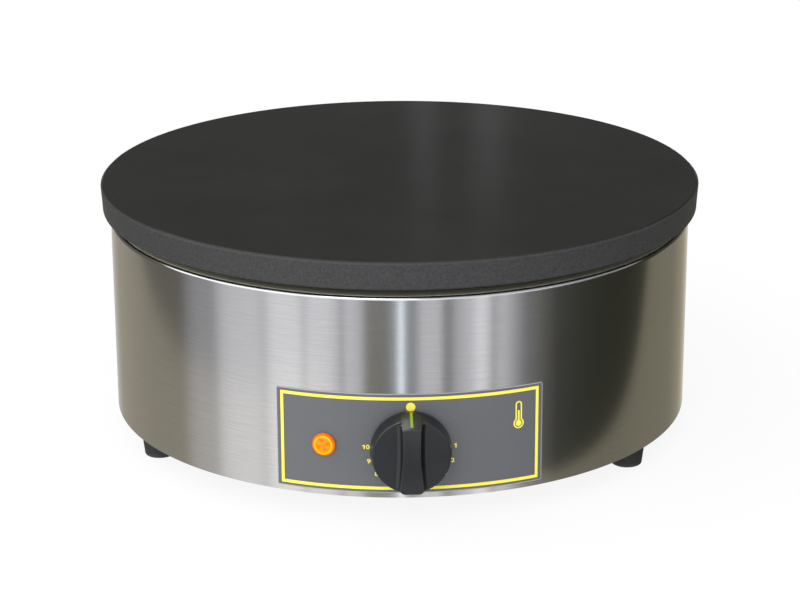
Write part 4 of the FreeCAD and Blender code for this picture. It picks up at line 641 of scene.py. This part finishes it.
def body_band():
    """The shell again, finely divided, so that its reflections run straight up the wall."""
    mesh = revolved("body_band", band_section(), BAND_SIDES)
    piece = new_piece("body_band", mesh, "chassis", "brushed_steel")
    bars = [opening("thermostat_shaft", SHAFT_HOLE_R),
            opening("indicator_body", LAMP_HOLE_R),
            opening("gland_body", GLAND_HOLE_R)]
    for bar in bars:
        bpy.context.scene.collection.objects.link(bar)
        cut = piece.modifiers.new("opening", "BOOLEAN")
        cut.operation = "DIFFERENCE"
        cut.solver = "EXACT"
        cut.object = bar
    bpy.context.view_layer.update()
    cut_piece = piece.evaluated_get(bpy.context.evaluated_depsgraph_get())
    shaped = bpy.data.meshes.new_from_object(cut_piece)
    piece.modifiers.clear()
    piece.data = shaped
    for bar in bars:
        bpy.data.objects.remove(bar)
    shaped.shade_smooth()
    shaped.set_sharp_from_angle(angle=SHARP_ANGLE)
    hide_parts("body_shell")


def on_label(across, up, out):
    """Point on the front label: across is measured round the body from the knob's axis."""
    angle = across / LABEL_FACE_R
    radius = LABEL_FACE_R + out
    return Vector((radius * math.sin(angle), -radius * math.cos(angle), KNOB_Z + up))


# The numbers: their type, the ring they stand on, and how the ink lies on the label
DIGIT_SIZE = 3.9 * MM
DIGIT_WEIGHT = 0.09 * MM
DIGIT_STRETCH = 1.22
DIGIT_SMOOTHNESS = 6
ONE_GAP = 0.55 * MM
DIAL_R = 27.6 * MM
DIAL_UP = 0.6 * MM
DIAL_FIRST_ANGLE = 90.0
DIAL_STEP = 20.0
DIAL_COUNT = 10
INK_THICK = 0.12 * MM
INK_OFF = 0.12 * MM
# The drawn 1: its sizes, its stem's corner as a share of the stem, and its flag as shares of
# its height
ONE_TALL = DIGIT_SIZE * 0.70
ONE_STEM = DIGIT_SIZE * 0.17
ONE_FLAG = DIGIT_SIZE * 0.17
STEM_CORNER = 0.2
FLAG_TOP = 0.82
FLAG_FOOT = 0.64
FLAG_ROOT = 0.76


def letter_curve(text):
    """Numerals set in type."""
    curve = bpy.data.curves.new("numeral", "FONT")
    curve.body = text
    curve.size = DIGIT_SIZE
    curve.offset = DIGIT_WEIGHT
    curve.resolution_u = DIGIT_SMOOTHNESS
    return curve


def numeral_one():
    """A stem with a short flag, as tall as the other numerals."""
    points = [(0, 0), (ONE_STEM, 0), (ONE_STEM, ONE_TALL), (ONE_STEM * STEM_CORNER, ONE_TALL),
              (-ONE_FLAG, ONE_TALL * FLAG_TOP), (-ONE_FLAG, ONE_TALL * FLAG_FOOT),
              (0, ONE_TALL * FLAG_ROOT)]
    curve = bpy.data.curves.new("numeral", "CURVE")
    curve.dimensions = "2D"
    curve.fill_mode = "BOTH"
    spline = curve.splines.new("POLY")
    spline.points.add(len(points) - 1)
    for place, (across, up) in zip(spline.points, points):
        place.co = (across, up, 0, 1)
    spline.use_cyclic_u = True
    return curve


def curve_mesh(curve):
    """The curve filled and given the ink's thickness."""
    curve.extrude = INK_THICK / 2
    holder = bpy.data.objects.new("numeral", curve)
    mesh = bpy.data.meshes.new_from_object(holder)
    bpy.data.objects.remove(holder)
    bpy.data.curves.remove(curve)
    return mesh


def digit_mesh(text):
    """Flat thick numeral in its own plane. A leading 1 is drawn, and the rest is set in type."""
    sheet = bmesh.new()
    right_end = 0.0
    if text.startswith("1"):
        mesh = curve_mesh(numeral_one())
        right_end = max(vertex.co.x for vertex in mesh.vertices) + ONE_GAP
        sheet.from_mesh(mesh)
        bpy.data.meshes.remove(mesh)
    rest = text.lstrip("1")
    if rest:
        mesh = curve_mesh(letter_curve(rest))
        left_end = min(vertex.co.x for vertex in mesh.vertices)
        foot = min(vertex.co.y for vertex in mesh.vertices)
        for vertex in mesh.vertices:
            vertex.co.x += right_end - left_end
            vertex.co.y -= foot
        sheet.from_mesh(mesh)
        bpy.data.meshes.remove(mesh)
    return mesh_from(sheet, "numeral")


def dial_numbers():
    """Numbers 1 to 10 round the knob, upright, wrapped onto the label."""
    sheet = bmesh.new()
    for index in range(DIAL_COUNT):
        turn = math.radians(DIAL_FIRST_ANGLE + index * DIAL_STEP)
        centre_x = DIAL_R * math.sin(turn)
        centre_z = DIAL_UP + DIAL_R * math.cos(turn)
        mesh = digit_mesh(str(index + 1))
        xs = [vertex.co.x for vertex in mesh.vertices]
        ys = [vertex.co.y for vertex in mesh.vertices]
        middle_x = (min(xs) + max(xs)) / 2
        middle_y = (min(ys) + max(ys)) / 2
        for vertex in mesh.vertices:
            out = INK_OFF + INK_THICK / 2 + vertex.co.z
            across = centre_x + (vertex.co.x - middle_x) * DIGIT_STRETCH
            vertex.co = on_label(across, centre_z + vertex.co.y - middle_y, out)
        sheet.from_mesh(mesh)
        bpy.data.meshes.remove(mesh)
    bmesh.ops.recalc_face_normals(sheet, faces=sheet.faces)
    new_piece("dial_numbers", mesh_from(sheet, "dial_numbers"), "chassis", "yellow_ink")


# The dot above the knob, whose edge is softened over the last of the ink's thickness
DOT_R = 2.9 * MM
DOT_UP = 27.0 * MM
DOT_SIDES = 48
DOT_SOFT_W = 0.08 * MM
DOT_WALL = INK_THICK * 0.7


def off_dot():
    """Round mark above the knob: a thin disc wrapped onto the label, with a softened edge."""
    sheet = bmesh.new()
    rings = []
    for radius, out in ((DOT_R, INK_OFF), (DOT_R, INK_OFF + DOT_WALL),
                        (DOT_R - DOT_SOFT_W, INK_OFF + INK_THICK)):
        ring = []
        for side in range(DOT_SIDES):
            turn = 2 * math.pi * side / DOT_SIDES
            up = DOT_UP + radius * math.sin(turn)
            ring.append(sheet.verts.new(on_label(radius * math.cos(turn), up, out)))
        rings.append(ring)
    for lower, upper in zip(rings, rings[1:]):
        for side in range(DOT_SIDES):
            after = (side + 1) % DOT_SIDES
            sheet.faces.new((lower[side], lower[after], upper[after], upper[side]))
    sheet.faces.new(rings[-1])
    sheet.faces.new(list(reversed(rings[0])))
    bmesh.ops.recalc_face_normals(sheet, faces=sheet.faces)
    new_piece("off_dot", mesh_from(sheet, "off_dot"), "chassis", "yellow_ink")


def camera():
    """The camera at the photograph's place and angle."""
    lens = bpy.data.cameras.new("camera")
    lens.lens = CAMERA_LENS
    lens.sensor_width = CAMERA_SENSOR
    lens.clip_start = CAMERA_NEAR
    lens.clip_end = CAMERA_FAR
    holder = bpy.data.objects.new("camera", lens)
    bpy.context.scene.collection.objects.link(holder)
    round_axis = Matrix.Rotation(-PANEL_TURN, 3, "Z")
    forward = round_axis @ Vector((0, math.cos(CAMERA_PITCH), -math.sin(CAMERA_PITCH)))
    right = round_axis @ Vector((1, 0, 0))
    up = right.cross(forward)
    rolled_right = math.cos(CAMERA_ROLL) * right + math.sin(CAMERA_ROLL) * up
    rolled_up = -math.sin(CAMERA_ROLL) * right + math.cos(CAMERA_ROLL) * up
    spin = Matrix((rolled_right, rolled_up, -forward)).transposed()
    place = round_axis @ Vector((0, -CAMERA_BACK, PLATE_TOP_Z + CAMERA_ABOVE_PLATE))
    holder.matrix_world = Matrix.Translation(place) @ spin.to_4x4()
    bpy.context.scene.camera = holder


# The studio round the object. Each entry is an angle in degrees from the camera's side, towards
# the camera's right, the brightness there and its tint. Soft boxes are bright, and the flags and
# gaps between them are dark.
WHITE = colour(1, 1, 1)
PLAIN = (0.99, 0.985, 1.035)
COOL = (0.93, 1.0, 1.08)
WARM = (1.06, 1.0, 0.86)
OLIVE = (1.0, 1.0, 0.72)
BROWN = (1.10, 0.98, 0.70)
LEFT_STUDIO = [
    (-180, 0.90, PLAIN), (-166, 0.42, PLAIN), (-152, 0.20, WARM), (-116, 0.15, WARM),
    (-96, 0.15, WARM), (-91, 0.30, PLAIN), (-86, 0.38, PLAIN), (-78, 0.38, PLAIN),
    (-74, 0.68, PLAIN), (-69, 0.76, PLAIN), (-58, 0.78, PLAIN), (-54.5, 0.64, PLAIN),
    (-51, 0.96, PLAIN), (-41, 0.98, PLAIN), (-38.6, 0.84, PLAIN), (-37.4, 0.56, PLAIN),
    (-36, 0.90, PLAIN), (-28, 0.90, PLAIN), (-23.6, 0.66, PLAIN), (-22.5, 0.34, PLAIN),
    (-21.2, 0.76, PLAIN), (-17, 0.70, PLAIN), (-14.5, 0.52, PLAIN), (-12.8, 0.21, WARM),
    (-5.2, 0.20, WARM), (-2.6, 0.34, COOL), (-0.8, 0.52, COOL), (-0.2, 1.7, COOL),
    (0, 1.9, COOL)]
RIGHT_STUDIO = [
    (0, 1.9, COOL), (0.9, 1.9, COOL), (1.5, 0.42, COOL), (4.6, 0.24, COOL),
    (6.2, 0.40, PLAIN), (8.4, 0.72, PLAIN), (15.4, 0.72, PLAIN), (17.2, 0.24, PLAIN),
    (19.4, 0.26, PLAIN), (21.6, 0.54, PLAIN), (28, 0.74, PLAIN), (30.4, 1.06, PLAIN),
    (33.2, 1.0, PLAIN), (35.4, 0.68, PLAIN), (36.6, 0.28, PLAIN), (37.8, 0.66, PLAIN),
    (41, 0.68, PLAIN), (46, 0.40, PLAIN), (50, 0.20, PLAIN), (54.5, 0.15, WARM),
    (60, 0.075, WARM), (64, 0.038, OLIVE), (98, 0.038, OLIVE), (112, 0.05, OLIVE),
    (138, 0.06, OLIVE), (153, 0.16, BROWN), (166, 0.45, WARM), (180, 0.90, PLAIN)]

# What stands before or over that ring. A side is a share of the half turn from the camera's
# side to the far side, and a rise is the upward share of a direction, 0 at the horizon.
# WINDOWS holds the two sides of each window, and each other pair is where a fade begins and
# ends.
BEHIND_LEVEL = 0.10
BEHIND_SIDE = (0.70, 0.85)
BEHIND_RISE = (-0.12, 0.02)
WINDOW_LEVEL = 0.6
WINDOWS = ((0.9948, 0.9988), (0.9860, 0.9908))
WINDOW_EDGE = 0.0008
WINDOW_FOOT = (0.16, 0.22)
WINDOW_HEAD = (0.25, 0.31)
FRONT_LEVEL = 2.0
FRONT_SIDE = (0.28, 0.48)
FRONT_RISE = (-0.15, -0.01)
# The ceiling starts higher at the back than in front, and is brighter towards the left
CEILING_LEVEL = 1.15
CEILING_LEAN = 0.7
CEILING_RISE = (0.0, 0.18)
CEILING_BACK = (0.0, 0.6)
CEILING_LIFT = 0.6
# The key box, whose side is in radians to either side of its angle
KEY_LEVEL = 5.0
KEY_ANGLE = math.radians(-14)
KEY_SIDE = (0.25, 0.45)
KEY_FOOT = (0.42, 0.52)
KEY_HEAD = (0.76, 0.86)


def tinted(level, tint):
    """A brightness as a colour."""
    return colour(*[level * part for part in tint])


def world():
    """Soft boxes and flags round the object under a large soft ceiling. The camera sees white."""
    surround = bpy.data.worlds.new("studio")
    bpy.context.scene.world = surround
    board = Board(surround)
    x, y, z = board.axes(board.add("ShaderNodeTexCoord", {}, {}, "Generated"))
    side = (round_body(x, y) + PANEL_TURN) / math.pi
    aside = side.math("ABSOLUTE")
    left_stops = [((degrees + 180) / 180, tinted(level, tint))
                  for degrees, level, tint in LEFT_STUDIO]
    right_stops = [(degrees / 180, tinted(level, tint)) for degrees, level, tint in RIGHT_STUDIO]
    left = board.add("ShaderNodeValToRGB", {"stops": left_stops}, {"Fac": side + 1})
    right = board.add("ShaderNodeValToRGB", {"stops": right_stops}, {"Fac": side})
    light = board.blend(side.math("GREATER_THAN", 0.0), left, right)
    behind = aside.step(*BEHIND_SIDE) * z.step(*BEHIND_RISE)
    light = board.blend(behind, light, tinted(BEHIND_LEVEL, PLAIN))
    for start, end in WINDOWS:
        wide = side.step(start, start + WINDOW_EDGE) * side.fade(end - WINDOW_EDGE, end)
        tall = z.step(*WINDOW_FOOT) * z.fade(*WINDOW_HEAD)
        light = board.blend(wide * tall, light, tinted(WINDOW_LEVEL, PLAIN))
    front = aside.fade(*FRONT_SIDE) * z.step(*FRONT_RISE)
    light = board.blend(front, light, tinted(FRONT_LEVEL, COOL))
    ceiling = (z - y.step(*CEILING_BACK) * CEILING_LIFT).step(*CEILING_RISE)
    lean = CEILING_LEVEL * (1 - CEILING_LEAN * x)
    light = board.blend(ceiling, light, board.vector(lean, lean, lean))
    from_key = (side * math.pi - KEY_ANGLE).math("ABSOLUTE")
    key = from_key.fade(*KEY_SIDE) * z.step(*KEY_FOOT) * z.fade(*KEY_HEAD)
    light = board.blend(key, light, tinted(KEY_LEVEL, PLAIN))
    seen = board.add("ShaderNodeLightPath", {}, {}, "Is Camera Ray")
    shown = board.blend(seen, light, WHITE)
    lit = board.add("ShaderNodeBackground", {}, {"Color": shown, "Strength": 1.0})
    board.add("ShaderNodeOutputWorld", {}, {"Surface": lit})


# Half the floor's side in metres, its tone, and how much of it the camera sees as plain white
FLOOR_HALF = 6.0
FLOOR_PAPER = colour(0.92, 0.92, 0.92)
FLOOR_WHITE_SHARE = 0.88
# The top that the object stands on, as the steel mirrors it: its near corner points at the
# camera, and its edges run away from that corner
TABLE_CORNER = (-226 * MM, -410 * MM)
TABLE_TURN = math.radians(30.0)
TABLE_EDGE = 4 * MM
TABLE_TONE = colour(0.200, 0.180, 0.135)


def floor():
    """Pale floor that keeps the object's soft shadow. Steel mirrors it as a top with its edges."""
    mesh = bpy.data.meshes.new("floor")
    corners = [(-FLOOR_HALF, -FLOOR_HALF, 0), (FLOOR_HALF, -FLOOR_HALF, 0),
               (FLOOR_HALF, FLOOR_HALF, 0), (-FLOOR_HALF, FLOOR_HALF, 0)]
    mesh.from_pydata(corners, [], [(0, 1, 2, 3)])
    ground = bpy.data.objects.new("floor", mesh)
    bpy.context.scene.collection.objects.link(ground)
    material = bpy.data.materials.new("floor")
    board = Board(material)
    paper = board.add("ShaderNodeBsdfDiffuse", {}, {"Color": FLOOR_PAPER})
    white = board.add("ShaderNodeEmission", {}, {"Color": WHITE, "Strength": 1.0})
    seen = board.add("ShaderNodeLightPath", {}, {}, "Is Camera Ray")
    reflected = board.add("ShaderNodeLightPath", {}, {}, "Is Glossy Ray")
    plain = board.add("ShaderNodeMixShader", {}, {0: seen * FLOOR_WHITE_SHARE, 1: paper, 2: white})
    x, y, z = board.axes(board.point())
    right = x - TABLE_CORNER[0]
    away = y - TABLE_CORNER[1]
    along = right * math.cos(TABLE_TURN) + away * math.sin(TABLE_TURN)
    across = away * math.cos(TABLE_TURN) - right * math.sin(TABLE_TURN)
    table = along.math("MINIMUM", across).step(-TABLE_EDGE, TABLE_EDGE)
    clear = board.add("ShaderNodeBsdfTransparent", {}, {})
    glow = board.add("ShaderNodeEmission", {}, {"Color": TABLE_TONE, "Strength": 1.0})
    polished = board.add("ShaderNodeAddShader", {}, {0: clear, 1: glow})
    mirrored = board.add("ShaderNodeMixShader", {}, {0: table, 1: clear, 2: polished})
    surface = board.add("ShaderNodeMixShader", {}, {0: reflected, 1: plain, 2: mirrored})
    board.add("ShaderNodeOutputMaterial", {}, {"Surface": surface})
    mesh.materials.append(material)


dress_nodes()
body_band()
dial_numbers()
off_dot()
camera()
world()
floor()
bpy.context.scene.view_settings.view_transform = "Standard"
